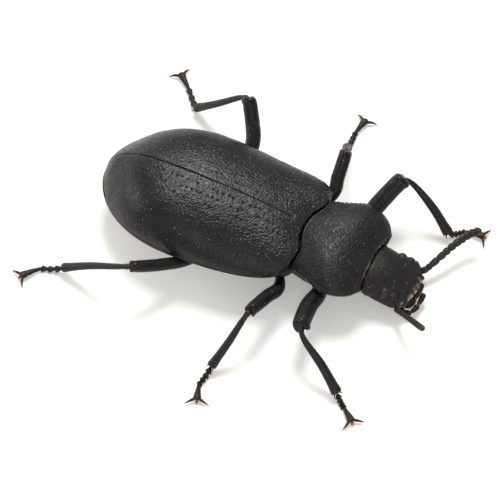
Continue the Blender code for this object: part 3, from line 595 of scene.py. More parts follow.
def rod(path, profile, flat, sides):
    """A skin round a path, its radius from a profile, flattened to a share of its height."""
    radius = curve(profile, spread(len(path)))
    return limb(path, radius, radius * flat, sides)


def lathe(start, end, profile, rings, sides, flat=1.0):
    """A skin turned about the line from start to end."""
    share = 0.5 - 0.5 * np.cos(np.linspace(0.0, math.pi, rings))
    radius = curve(profile, share)
    return limb(start + (end - start) * share[:, None], radius, radius * flat, sides)


def ball(centre, radii, rings=40, sides=60):
    """An ellipsoid with radii forward, left and up."""
    tilt = np.linspace(0.02, math.pi - 0.02, rings)[:, None]
    turn = np.linspace(0.0, 2.0 * math.pi, sides, endpoint=False)[None, :]
    shape = np.stack([np.sin(tilt) * np.cos(turn), np.sin(tilt) * np.sin(turn),
                      np.cos(tilt) * np.ones_like(turn)], axis=-1)
    return Surface(np.asarray(centre) + shape * np.asarray(radii))


def wing_half_width(back):
    taper = SHOULDER_TAPER * fade(back, SHOULDER_LENGTH) ** 2
    corner = SHOULDER_CORNER * np.exp((WING_START - back) / SHOULDER_CORNER_LENGTH)
    tip = closing(back, WING_WIDEST, WING_END, WING_TIP_POWER, WING_TIP_ROOT)
    return WING_HALF_WIDTH * (1.0 - taper - corner) * tip


def wing_margin_height(back):
    front = WING_MARGIN_FRONT_RISE * fade(back, SHOULDER_LENGTH)
    shoulder = WING_SHOULDER_RISE * fade(back - WING_START, WING_SHOULDER_LENGTH) ** 1.5
    rear = WING_MARGIN_REAR_FALL * np.maximum((back - WING_WIDEST) / (WING_END - WING_WIDEST), 0.0) ** 2
    return WING_MARGIN_HEIGHT + front + shoulder - rear


def wing_crest_height(back):
    margin = wing_margin_height(back)
    base = WING_BASE_ROUNDING * np.exp((WING_START - back) / WING_BASE_LENGTH)
    ridge = WING_CREST_HEIGHT + WING_CREST_RISE * back - base
    tip = closing(back, WING_CREST_FALL_START, WING_END, WING_CREST_POWER, WING_CREST_ROOT)
    return margin + (ridge - margin) * tip


def vault_angles(count, power, half_width, rise):
    """Angles from the crown that spread points evenly over an arch of these sizes."""
    angle = np.linspace(0.0, math.pi / 2.0, 900)
    across = half_width * np.sin(angle) ** (2.0 / power)
    high = rise * vault(angle, 2.0 / power)
    along = np.concatenate([[0.0], np.cumsum(np.hypot(np.diff(across), np.diff(high)))])
    return np.interp(np.linspace(0.0, along[-1], count), along, angle)


def warp(points, size, seed):
    return np.stack([soft_noise(points, size, seed + k) for k in (1, 2, 3)], axis=-1)


def wrinkles(points, size, depth, seed):
    """Leathery, rounded wrinkles: warped cells, drawn out along the body."""
    drawn = (points + 0.45 * size * warp(points, 2.2 * size, seed)) * np.array([0.7, 1.0, 1.0])
    first, second = cell_distances(drawn, size, seed)
    return depth * (step(second - first, 0.0, 0.5) - 0.6)


def pits(points, size, depth, seed):
    """Close pits with narrow ridges between them."""
    first, second = cell_distances(points, size, seed)
    return -depth * (step(second - first, 0.04, 0.55) * (1.0 - 0.75 * first) - 0.3)


def granules(points, size, height, seed):
    """Close rounded grains."""
    first, _ = cell_distances(points + 0.8 * size * warp(points, 2.5 * size, seed), size, seed)
    return height * (hill(first, 0.0, 0.42) - 0.4)


def wing_pits(points, back, arc, side):
    """Rows of punctures beside the suture, from 0 to 1, that fade toward the flank and the tip."""
    steps = np.linalg.norm(np.diff(points[:, :WING_ARC], axis=1), axis=2)
    reach = np.concatenate([np.zeros((WING_RINGS, 1)), np.cumsum(steps, axis=1)], axis=1)
    reach = np.concatenate([reach, np.repeat(reach[:, -1:], points.shape[1] - WING_ARC, axis=1)], axis=1)
    spacing = np.minimum(PIT_ROW_SPACING, reach[:, -1:] / (PIT_ROWS + 0.5))
    row = (reach - PIT_ROW_SPREAD * np.exp(-back / 1.6)) / spacing
    nearest = np.clip(np.round(row), 1, PIT_ROWS)
    phase = back / PIT_SPACING + PIT_ROW_STAGGER * nearest
    cell = np.stack([np.round(phase), nearest, side + 0.0 * nearest], axis=-1)
    jitter = scatter(cell.astype(np.int64), 3)
    along = (phase - np.round(phase) + 0.4 * (jitter[..., 0] - 0.5)) * PIT_SPACING
    aside = (row - nearest) * spacing + 0.12 * (jitter[..., 1] - 0.5)
    size = 0.65 + 0.5 * jitter[..., 2]
    strong = (1.0 - 0.85 * step(arc, 0.3, 0.6)) * step(size, 0.7, 0.85) * (1.0 - 0.6 * step(back, 9.0, 13.0))
    return hill(along, 0.0, PIT_LENGTH * size) * hill(aside, 0.0, PIT_WIDTH * size) * strong


def build_wing_case(name, side, material):
    """A wing case: vaulted, wrinkled, with rows of pits beside the suture and a russet rim."""
    share = spread(WING_RINGS)
    share = 0.35 * (0.5 - 0.5 * np.cos(math.pi * share)) + 0.65 * share
    start = WING_START - WING_BASE_REACH
    back = (start + (WING_END - 0.02 - start) * share)[:, None]
    width = wing_half_width(back)
    margin = wing_margin_height(back)
    inner = np.minimum(SUTURE_HALF_WIDTH, 0.3 * width)
    angle = vault_angles(WING_ARC, WING_BULGE, WING_HALF_WIDTH, 2.4)[None, :]
    power = 2.0 / curve(WING_BULGE_ROWS, back)
    across = inner + (width - inner) * np.sin(angle) ** power
    up = margin + (wing_crest_height(back) - margin) * vault(angle, power)
    shrink = np.minimum(1.0, 1.6 * width)
    lip = spread(9)[None, 1:]
    lip_across = width - WING_LIP_INSET * shrink * lip**1.5
    lip_up = margin - WING_LIP_DEPTH * shrink * lip
    under = spread(8)[None, 1:]
    under_across = lip_across[:, -1:] * (1.0 - under) + inner * under
    under_up = np.broadcast_to(lip_up[:, -1:], under_across.shape)
    left = np.concatenate([across, np.maximum(np.hstack([lip_across, under_across]), inner)], axis=1)
    height = np.concatenate([up, lip_up, under_up], axis=1)
    edge = left / np.maximum(width, 0.05)
    near = fade(back - WING_START, BASE_LENGTH)
    lean = (BASE_SKEW * side * left + WING_BASE_WAVE * hill(edge, 0.62, 0.28) - base_hollow(edge)) * near
    ahead = SHOULDER_REACH * fade(back - WING_START, SHOULDER_REACH_LENGTH)
    sway = WING_SWAY * np.maximum((back - WING_SWAY_START) / (WING_END - WING_SWAY_START), 0.0) ** 2
    surface = Surface(np.stack([ahead * edge**2 + lean - back, side * left + sway, height], axis=-1))

    rest = left.shape[1] - WING_ARC
    arc = np.concatenate([spread(WING_ARC), np.ones(rest)])[None, :]
    top = np.concatenate([np.ones(WING_ARC), np.zeros(rest)])[None, :]
    points = surface.points
    height = 0.016 * soft_noise(points, 1.3, 5) + 0.010 * soft_noise(points, 0.5, 6)
    height += wrinkles(points, WRINKLE_SIZE, WRINKLE_DEPTH, 11) * (1.0 - 0.3 * step(back, 8.0, 12.0))
    height -= PIT_DEPTH * wing_pits(points, back, arc, side) * (0.75 - 0.25 * side)
    calm = top * np.minimum(1.0, width / 0.8) * step(1.0 - arc, 0.0, 0.02) * step(left, 0.04, 0.16)
    surface.emboss(height * calm)
    scutellum = hill(back, 0.78, 0.22) * hill(left, 0.0, 0.32)
    surface.emboss(0.05 * scutellum * top, 0.3)
    suture = (1.0 - step(left, SUTURE_HALF_WIDTH, SUTURE_REACH)) * step(back, 0.9, 1.4)
    rim = hill(arc, 1.0, 0.015) * top
    surface.points[..., 2] -= SUTURE_DEPTH * suture * top * np.minimum(1.0, width)
    # The suture is painted darker than its groove alone makes it, most toward the front: painted shade along
    # the seam.
    surface.relief_shade -= (1.5 - 0.8 * step(back, 6.0, 12.0)) * SUTURE_DEPTH * suture * top
    surface.emboss(0.05 * rim * np.minimum(1.0, width), 0.0)
    surface.warm = rim * (0.15 + 0.45 * step(back, 4.0, 12.0))
    add_piece(name, "shell", [surface.rolled(BASE_ROLLS, first=True)], material)
    return surface


def pronotum_margin_height(forward):
    return PRONOTUM_MARGIN_HEIGHT - PRONOTUM_MARGIN_FALL * np.maximum(forward / PRONOTUM_FRONT, 0.0) ** 3


def pronotum_crest_height(forward):
    back = np.maximum((PRONOTUM_CREST_FORWARD - forward) / PRONOTUM_CREST_FORWARD, 0.0)
    ahead = (forward - PRONOTUM_CREST_FORWARD) / (PRONOTUM_FRONT - PRONOTUM_CREST_FORWARD)
    fall = PRONOTUM_CREST_REAR_FALL * back**2 + PRONOTUM_CREST_FRONT_FALL * np.maximum(ahead, 0.0) ** 2.2
    return PRONOTUM_CREST_HEIGHT - fall


def turned_prothorax(forward, left):
    """The prothorax is bent a little to the animal's right."""
    ahead = forward - PRONOTUM_CENTRE
    cosine, sine = math.cos(PRONOTUM_TURN), math.sin(PRONOTUM_TURN)
    return PRONOTUM_CENTRE + ahead * cosine + left * sine, left * cosine - ahead * sine


def pitted_hips(legs, seed):
    hips = [ball(LEGS[leg]["coxa"], [COXA_RADIUS] * 3) for leg in legs]
    return [hip.emboss(pits(hip.points, 0.16, 0.02, seed)) for hip in hips]


def build_prothorax(material):
    """The prothorax: granular pronotum with a saw edge, hollowed sides and a keeled sternum."""
    forward = np.linspace(PRONOTUM_BACK, PRONOTUM_FRONT, PRONOTUM_RINGS)[:, None]
    width = curve(PRONOTUM_ROWS, forward)
    margin = pronotum_margin_height(forward)
    low = margin - PRONOTUM_LIP
    half = vault_angles(PRONOTUM_ARC // 2, PRONOTUM_BULGE, PRONOTUM_HALF_WIDTH, 1.0)
    angle = np.concatenate([-half[::-1], half[1:]])[None, :]
    left = width * power_sign(np.sin(angle), 2.0 / PRONOTUM_BULGE)
    up = margin + (pronotum_crest_height(forward) - margin) * vault(angle, 2.0 / PRONOTUM_BULGE)
    below = np.cos(np.linspace(0.0, math.pi, STERNUM_ARC))[None, :]
    power = STERNUM_REAR_KEEL - (STERNUM_REAR_KEEL - STERNUM_KEEL) * step(forward, 0.5, 1.9)
    left = np.concatenate([left, (width - 0.5 * PRONOTUM_LIP) * below], axis=1)
    up = np.concatenate([up, low - (low - curve(STERNUM_ROWS, forward)) * keel(below, power)], axis=1)
    edge = np.abs(left) / width
    saw = np.abs(((forward - TOOTH_FIRST) / TOOTH_SPACING + 0.5) % 1.0 - 0.35) / 0.65
    teeth = (1.0 - saw) * step(forward, TOOTH_FIRST - 0.2, TOOTH_FIRST) * step(TOOTH_LAST - forward, 0.0, 0.4)
    left = left * (1.0 + TOOTH_REACH / width * teeth * step(edge, 0.94, 1.0))
    ahead = PRONOTUM_CURL * edge**2
    ahead += (BASE_WAVE * hill(edge, 0.62, 0.28) - base_hollow(edge)) * fade(forward, BASE_LENGTH)
    ahead -= PRONOTUM_CORNER_REACH * edge**10 * (1.0 - step(forward, -0.05, 0.7))
    surface = Surface(np.stack([*turned_prothorax(forward + ahead, left), up], axis=-1))

    top = np.concatenate([np.ones(angle.shape[1]), np.full(STERNUM_ARC, 0.5)])[None, :]
    points = surface.points
    height = granules(points, GRAIN_SIZE, PRONOTUM_GRAIN_HEIGHT, 21) + 0.004 * soft_noise(points, 0.45, 22)
    height += 0.02 * soft_noise(points, 1.4, 23)
    height -= 0.05 * hill(forward, 0.5, 0.35) * hill(np.abs(left), 1.7, 0.5) * top
    from_edge = (1.0 - edge) * width
    from_front, from_back = PRONOTUM_FRONT - forward, forward - PRONOTUM_BACK
    bead = np.maximum(hill(from_front, 0.0, 0.04), hill(from_back, 0.0, 0.035))
    bead = np.maximum(hill(from_edge, 0.0, 0.05), bead)
    furrow = np.maximum(hill(from_edge, 0.13, 0.05), hill(from_front, 0.12, 0.04))
    surface.emboss((height * (1.0 - 0.8 * bead)) * top)
    surface.emboss((0.025 * bead - 0.015 * furrow) * np.floor(top), 0.6)
    broken = step(soft_noise(points, 0.45, 25), -0.15, 0.25)
    # A thin pale line along the base edge is a painted highlight.
    rear_edge_highlight = hill(from_back, 0.0, 0.026) * step(left, -1.8, -0.6) * step(2.6 - left, 0.0, 0.6)
    front_line = hill(from_front, 0.0, 0.022) * step(2.1 - np.abs(left), 0.0, 0.4)
    surface.warm = 1.45 * (rear_edge_highlight * (0.45 + 0.55 * broken) + front_line * broken)

    shell = surface.rolled(COLLAR_ROLLS, lift=COLLAR_LIFT).rolled(BASE_ROLLS, first=True)
    hips = pitted_hips(("front_left", "front_right"), 24)
    add_piece("prothorax", "skin", [shell, *hips], material)
    return surface


def mirrored(place, side):
    return place[0], side * place[1], place[2]


def head_ring(forward, angle):
    """Left and up on the head capsule, before the finer forms."""
    rows = spline(HEAD_ROWS, forward)
    width, top, bottom = rows[..., 0], rows[..., 1], rows[..., 2]
    behind = 1.0 - step(forward, HEAD_ROWS[1][0], HEAD_BACK_END)
    ahead = step(forward, 7.0, 7.6)
    level = HEAD_WIDEST_LEVEL + HEAD_BACK_LEVEL * behind + HEAD_FRONT_LEVEL * ahead
    middle = bottom + level * (top - bottom)
    power = 2.0 / (HEAD_BULGE + HEAD_BACK_BULGE * behind + HEAD_FRONT_BULGE * ahead)
    across = power_sign(np.sin(angle), power)
    high = power_sign(np.cos(angle), power)
    reach = np.where(high > 0.0, top - middle, middle - bottom)
    return spline(HEAD_CENTRE_ROWS, forward)[..., 0] + across * width, middle + high * reach


def build_head(material, eye_material):
    """The head: granular, with lobes over the feelers' roots, sockets for the eyes and a pale front edge."""
    forward = np.linspace(HEAD_ROWS[0][0], HEAD_ROWS[-1][0], HEAD_RINGS)[:, None]
    angle = np.linspace(0.0, 2.0 * math.pi, HEAD_SIDES, endpoint=False)[None, :]
    left, up = head_ring(forward + 0.0 * angle, angle + 0.0 * forward)
    curved = forward + HEAD_FRONT_CURVE * (1.0 - left**2) * step(forward, 6.9, HEAD_ROWS[-1][0])
    surface = Surface(np.stack([curved, left, up], axis=-1))
    side = np.abs(left)
    upper = step(up, 0.9, 1.6)
    lobe, brow, socket, root = (
        hill(forward, *along) * hill(up, *high) * step(side, *out)
        for along, high, out in (HEAD_LOBE, HEAD_BROW, EYE_SOCKET, ANTENNA_SOCKET)
    )
    furrow = hill(forward - 0.16 * (left / 1.5) ** 2, 6.95, 0.07) * upper * step(2.0 - side, 0.2, 0.6)
    dip = hill(forward, 6.5, 0.55) * hill(side, 0.75, 0.45) * upper
    crown = hill(forward, 5.7, 0.7) * hill(side, 0.0, 1.0) * upper
    form = 0.15 * lobe + 0.04 * brow - 0.06 * socket - 0.16 * root - 0.03 * dip + 0.03 * crown
    surface.emboss(form, 0.0)
    surface.emboss(-0.008 * furrow)
    surface.gloss = 1.5 * lobe
    points = surface.points
    texture = granules(points, GRAIN_SIZE, HEAD_GRAIN_HEIGHT, 31) + 0.004 * soft_noise(points, 0.4, 32)
    surface.emboss(texture * (1.0 - 0.9 * socket))
    reach = forward + 0.09 * soft_noise(points, 0.25, 34) + 0.05 * soft_noise(points, 0.1, 36)
    pale = step(reach, 7.42, 7.62) * step(up, 0.95, 1.2) * step(0.9 - left, 0.0, 0.4)
    surface.warm = 1.25 * pale * step(soft_noise(points, 0.16, 35), -0.5, 0.6)
    add_piece("head", "skin", [surface.rolled(FACE_ROLLS, relief_shade=0.0, warm=1.0)], material)
    for name, turn in (("eye_left", 1), ("eye_right", -1)):
        eye = ball(mirrored(EYE_CENTRE, turn), EYE_RADII, 90, 120)
        first, _ = cell_distances(eye.points, 0.075, 33)
        add_piece(name, "facets", [eye.emboss(0.007 * (1.0 - first))], eye_material)
    return surface


def build_mouth(material, lip_material, limb_material):
    """Upper lip, jaws and the jointed palps."""
    share = spread(40)
    half, ahead = (np.interp(share, spread(len(row)), row) for row in (LABRUM_HALF_WIDTHS, LABRUM_REACHES))
    path = np.column_stack([LABRUM_FRONT + ahead, 0.0 * share, 1.16 - 0.35 * (ahead + 0.12)])
    lip = limb(path, half, np.minimum(0.16, 0.35 * half), 60).roughen(0.012, 0.15, 41)
    add_piece("labrum", "skin", [lip.tint(1.5 * step(share, 0.45, 0.8))], lip_material)
    for name, side in (("mandible_left", 1), ("mandible_right", -1)):
        path = even_path([mirrored(place, side) for place in MANDIBLE_PLACES], 60)
        jaw = rod(path, MANDIBLE_PROFILE, 0.85, 32).tint(step(spread(60), 0.5, 1.0))
        add_piece(name, "skin", [jaw], material)
    for name, palp in PALPS.items():
        path = even_path(palp["places"], 120)
        joints = palp["joints"]
        beads = []
        for start, end in zip(joints, joints[1:]):
            stretch = path[int(start * 119):int(end * 119) + 1]
            bead = rod(stretch, PALP_PROFILE, 0.9, 32).roughen(0.008, 0.1, 43)
            beads.append(bead.tint(1.6 * hill(spread(len(stretch)), 0.0, 0.12) * (start > 0.5)))
        add_piece(name, "beads", beads, limb_material)


def build_antenna(name, material):
    """A feeler of eleven beads, each narrow at its root, the last one russet."""
    guide = even_path(ANTENNAE[name]["places"], 400)
    total = sum(ANTENNA_SEGMENTS)
    thin, thick = ANTENNAE[name]["thickness"]
    final = len(ANTENNA_SEGMENTS) - 1
    share = spread(30)
    passed = 0.0
    beads = []
    for i, length in enumerate(ANTENNA_SEGMENTS):
        first, last = (int(round((passed + part * length) / total * 399)) for part in (-0.04, 1.06))
        stretch = guide[max(first, 0):min(last, 399) + 1]
        path = even_path(stretch[::max(len(stretch) // 6, 1)], 30)
        radius = 0.5 * (thin + (thick - thin) * i / final)
        girth = radius * curve(SEGMENT_PROFILE, share) * (1.0 - 0.45 * step(share, 0.35, 1.0) * (i == final))
        bead = limb(path, girth, girth * 0.92, 30)
        bead.emboss(pits(bead.points, 0.09, 0.012, 51 + i))
        beads.append(bead.tint(0.5 * step(share, 0.2, 0.8) if i == final else 0.12 * hill(share, 1.0, 0.1)))
        passed += length
    add_piece(name, "beads", beads, material)
    return beads


def build_underside(material):
    """Breast and belly: shallow keels, the hips, and the overlapping plates of the belly."""
    for name, start, end in (("thorax_underside", THORAX_START, THORAX_END),
                             ("abdomen", THORAX_END, ABDOMEN_END)):
        back = np.linspace(start, end, 120)[:, None]
        front = fade(back, BELLY_FRONT_LENGTH)
        width = np.maximum(wing_half_width(back) - BELLY_INSET + BELLY_FRONT_REACH * front, 0.3)
        top = wing_margin_height(back) - WING_LIP_DEPTH + 0.05
        across = -np.cos(np.linspace(0.0, math.pi, 130))[None, :]
        tip = step(ABDOMEN_END + 0.4 - back, 0.0, 1.6)
        down = (top - BELLY_HEIGHT) * tip * keel(across, BELLY_KEEL + BELLY_FRONT_KEEL * front)
        left = width * np.concatenate([across, np.linspace(1.0, -1.0, 12)[None, 1:-1]], axis=1)
        down = np.concatenate([down, 0.0 * left[:, -10:]], axis=1)
        surface = Surface(np.stack([0.0 * left - back, left, top - down], axis=-1))
        height = pits(surface.points, 0.2, 0.02, 61) + 0.03 * soft_noise(surface.points, 0.9, 62)
        hips = []
        if name == "abdomen":
            starts = np.array((THORAX_END, *VENTRITE_ENDS[:-1]))
            last = starts[np.searchsorted(starts, back[:, 0], side="right") - 1][:, None]
            height = height + VENTRITE_STEP * (step(back - last, 0.0, 0.9) - 1.0)
        else:
            hips = pitted_hips(("middle_left", "middle_right", "hind_left", "hind_right"), 63)
        surface.emboss(height * (down > 0.0))
        add_piece(name, "skin", [surface, *hips], material)


def build_thigh(name, pair, leg):
    """A thigh that swells to its club and ends in two lobes with a groove for the shin."""
    places = np.array([leg["coxa"], *leg["bows"], leg["knee"]])
    knee = places[-1].copy()
    places[-1] += unit(places[-1] - places[-2]) * KNEE_REACH[pair]
    path = beyond(even_path(places, 200), 0.45)
    share = 1.0 - (1.0 - spread(160)) ** 1.6
    path = read_path(path, spread(len(path)), share)
    club = FEMUR_RADII[name]
    rows = ((0.0, 0.16), (0.05, 0.30), (0.1, 0.36), (0.24, FEMUR_ROOTS[pair] * club), (0.5, club),
            (0.86, club), (0.93, 0.98 * club), (0.965, 0.92 * club), (0.985, 0.76 * club),
            (0.996, 0.45 * club), (1.0, 0.02))
    radius = curve(rows, share)
    thigh = limb(path, radius, radius * 0.97, 64)
    shin_way = unit(np.array(leg["shins"][0]) - knee)
    thigh_way = unit(path[-1] - path[-12])
    apart = unit(np.cross(thigh_way, shin_way))
    from_tip = (thigh.points - path[-1]) / club
    along, aside, below = (np.sum(from_tip * way, axis=-1) for way in (thigh_way, apart, shin_way))
    groove = hill(aside, 0.0, 0.3) * step(along, -1.4, -0.6) * step(below, 0.0, 0.45)
    lobe = hill(np.abs(aside), 0.62, 0.26) * hill(along, -0.42, 0.42) * step(below, -0.5, 0.1)
    thigh.emboss(KNEE_LOBE * lobe - KNEE_GROOVE * groove, 0.0)
    near = step(along, -1.3, -0.5)
    texture = pits(thigh.points, 0.11, 0.030, 71) + 0.010 * soft_noise(thigh.points, 0.3, 72)
    thigh.emboss(texture * (1.0 - 0.85 * near))
    thigh.warm = 1.1 * groove * step(below, 0.3, 0.7)
    thigh.gloss = np.maximum(lobe, 0.6 * near)
    return thigh


def build_shin(pair, leg):
    """The skins of a shin: the shin, the russet ball at its knee and its two end spurs."""
    path = beyond(even_path([leg["knee"], *leg["shins"], leg["ankle"]], 220), 0.12)
    share = spread(len(path))
    thick = TIBIA_RADII[pair]
    rows = ((0.0, 0.12), (0.03, 0.20), (0.06, 0.20), (0.10, 0.175), (0.2, 0.20), (0.5, 0.93 * thick),
            (0.85, 1.08 * thick), (0.95, 1.22 * thick), (0.985, 1.15 * thick), (1.0, 0.6 * thick))
    shin = rod(path, rows, 0.94, 48)
    shin.emboss(pits(shin.points, 0.10, 0.022, 73) * step(share, 0.08, 0.2)[:, None])
    condyle = ball(path[0] + unit(path[6] - path[0]) * 0.14, [0.19] * 3, 30, 40)
    skins = [shin.tint(0.55 * step(share, 0.955, 1.0)), condyle.tint(0.55)]
    along = unit(path[-1] - path[-8])
    across = unit(np.cross(along, UP))
    for turn in (-1.0, 1.0):
        root = path[-1] + across * turn * 0.55 * thick - along * 0.12
        tip = path[-1] + across * turn * 1.15 * thick + along * 0.20
        skins.append(lathe(root, tip, SPUR_PROFILE, 12, 14).tint(0.7))
    return skins


def build_leg(name, limb_material, shin_material, foot_material):
    """One leg: thigh, shin, and a foot of short segments, a long one and two claws."""
    leg = LEGS[name]
    pair = name.split("_")[0]
    thigh, shin, foot = build_thigh(name, pair, leg), build_shin(pair, leg), build_foot(pair, leg)
    add_piece(name + "_femur", "skin", [thigh], limb_material)
    add_piece(name + "_tibia", "skin", shin, shin_material)
    add_piece(name + "_tarsus", "beads", foot, foot_material)
    return thigh, shin[0], foot


def build_foot(pair, leg):
    """The skins of a foot: its short segments, then the long one, two claws and the pad between them."""
    heel, instep, toe = (np.array([*leg[place][:2], 0.0]) for place in ("ankle", "instep", "toe"))
    short = SHORT_SEGMENTS[pair]
    share = spread(30)
    underside = hill(np.sin(np.linspace(0.0, 2.0 * math.pi, 32, endpoint=False)), -1.0, 0.5)
    lobe = step(share, 0.55, 0.9)[:, None] * underside
    skins = []
    for i in range(short):
        along = np.clip((i + np.array([-0.12, 1.06])) / short, 0.0, 1.03)[:, None]
        start, end = heel + (instep - heel) * along + UP * spline(TARSUS_HEIGHTS, along[:, 0])
        radius = TARSUS_RADIUS * (1.0 - 0.04 * i)
        profile = ((0.0, 0.3 * radius), (0.15, 0.5 * radius), (0.5, 0.78 * radius), (0.8, radius),
                   (0.93, 0.9 * radius), (1.0, 0.2 * radius))
        bead = lathe(start, end, profile, 30, 32, 0.95).emboss(0.05 * lobe, 0.0)
        skins.append(bead.roughen(0.008, 0.09, 81).tint(0.35 * hill(share, 1.0, 0.1)))
    ahead = unit(toe - instep)
    across = np.cross(ahead, UP)
    share = spread(70)[:, None]
    path = instep + (toe - instep) * (share * 1.02 - 0.04) + UP * curve(LONG_SEGMENT_HEIGHTS, share)
    long = rod(path, LONG_SEGMENT_PROFILE, 0.72, 40).roughen(0.007, 0.1, 82)
    skins.append(long.tint(0.4 * step(share, 0.85, 1.0)))
    for turn in (-1.0, 1.0):
        root = toe + across * turn * CLAW_ROOT - ahead * CLAW_ROOT
        out = (ahead * math.cos(CLAW_SPREAD) + across * turn * math.sin(CLAW_SPREAD)) * CLAW_LENGTH
        places = [root + out * reach - ahead * CLAW_HOOK * reach**3 + UP * high
                  for reach, high in CLAW_HEIGHTS]
        claw = rod(even_path(places, 40), CLAW_PROFILE, 1.25, 20)
        skins.append(claw.tint(0.5 + 0.3 * hill(spread(40), 0.0, 0.3)))
    skins.append(ball(toe + ahead * 0.06 + UP * 0.15, (0.10, 0.13, 0.09), 20, 24).tint(1.6))
    for skin in skins:
        skin.points[..., 2] = np.maximum(skin.points[..., 2], 0.0)
    return skins


def tuft(surface, kind, part=1.0):
    """Hairs at random places on part of a skin's girth, as add_bristles() takes them."""
    count, rows, columns, *form = TUFTS[kind]
    total_rows, total_columns = surface.points.shape[:2]
    i = (generator.uniform(*rows, count) * (total_rows - 2)).astype(int)
    low, high = (part * column for column in columns)
    j = (generator.uniform(low, high, count) * (total_columns - 1)).astype(int)
    along = unit(surface.points[i + 1, j] - surface.points[i, j])
    place = np.column_stack([i / total_rows, j / total_columns])
    return surface.points[i, j], surface.normals()[i, j], along, place, *form


def add_bristles(name, groups, material):
    """Fine hairs as thin bent cones: groups of (roots, outward, lie, places, length, radius, lift)."""
    points, faces, places = [], [], []
    first = 0
    turns = np.linspace(0.0, 2.0 * math.pi, 3, endpoint=False)
    round_map = np.linspace(0, 5.4, 7)
    patch = 0.0015 * np.column_stack([np.cos(round_map), np.sin(round_map)])
    for roots, outward, lie, spots, length, radius, lift in groups:
        reach = length * generator.uniform(0.7, 1.3, (len(roots), 1))
        stray = generator.normal(0.0, 0.22, (len(roots), 3))
        start = unit(lie + outward * lift + stray)
        end = unit(lie + outward * (lift * 0.4) + stray)
        side = unit(np.cross(start, outward) + 1e-6)
        other = np.cross(side, start)
        ways = [side * math.cos(turn) + other * math.sin(turn) for turn in turns]
        root = roots - outward * radius
        middle = root + start * reach * 0.5
        tip = middle + end * reach * 0.5
        cone = [root + way * radius for way in ways] + [middle + way * 0.7 * radius for way in ways] + [tip]
        points.append(np.stack(cone, axis=1).reshape(-1, 3))
        base = first + 7 * np.arange(len(roots))[:, None]
        for k, n in ((0, 1), (1, 2), (2, 0)):
            faces += (base + np.array([k, n, 3 + n, 3 + k])).tolist()
            faces += (base + np.array([3 + k, 3 + n, 6])).tolist()
        places.append((np.clip(spots, 0.01, 0.99)[:, None] + patch).reshape(-1, 2))
        first += 7 * len(roots)
    points = placed(np.concatenate(points))
    points[:, 2] = np.maximum(points[:, 2], 0.0)
    attributes = {"shade": generator.uniform(0.0, 1.0, len(points) // 7).repeat(7)}
    add_mesh(name, points, faces, material, attributes, np.concatenate(places))


class Paint:
    """A material's nodes, added one by one."""

    def __init__(self, name):
        self.material = bpy.data.materials.new(name)
        self.material.use_nodes = True
        self.tree = self.material.node_tree

    def put(self, node, inputs):
        """Links or sets some inputs of a node, by number or by name with _ for a space."""
        for key, value in inputs.items():
            socket = node.inputs[key if isinstance(key, int) else key.replace("_", " ")]
            if isinstance(value, bpy.types.NodeSocket):
                self.tree.links.new(value, socket)
            else:
                socket.default_value = value

    def add(self, kind, settings=(), **inputs):
        node = self.tree.nodes.new(kind)
        for key, value in dict(settings).items():
            setattr(node, key, value)
        self.put(node, inputs)
        return node

    def ramp(self, value, low, high, start=0.0, end=1.0):
        node = self.add("ShaderNodeMapRange", {"clamp": True}, Value=value, From_Min=low, From_Max=high,
                        To_Min=start, To_Max=end)
        return node.outputs["Result"]

    def math(self, operation, a, b):
        node = self.add("ShaderNodeMath", {"operation": operation})
        self.put(node, {0: a, 1: b})
        return node.outputs[0]

    def mix(self, share, a, b):
        node = self.add("ShaderNodeMix", {"data_type": "RGBA"}, Factor=share)
        a, b = ((*colour, 1.0) if isinstance(colour, tuple) else colour for colour in (a, b))
        self.put(node, {6: a, 7: b})
        return node.outputs[2]

    def noise(self, size, detail=2.0, twist=0.0):
        """Noise whose features are about a size in millimetres across."""
        node = self.add("ShaderNodeTexNoise", Vector=self.places(), Scale=1.0 / (size * MM), Detail=detail,
                        Distortion=twist)
        return node.outputs["Fac"]

    def places(self):
        return self.add("ShaderNodeTexCoord").outputs["Object"]

    def attribute(self, name):
        return self.add("ShaderNodeAttribute", {"attribute_name": name}).outputs["Fac"]

    def finish(self, **inputs):
        self.put(self.tree.nodes["Principled BSDF"], inputs)
        return self.material


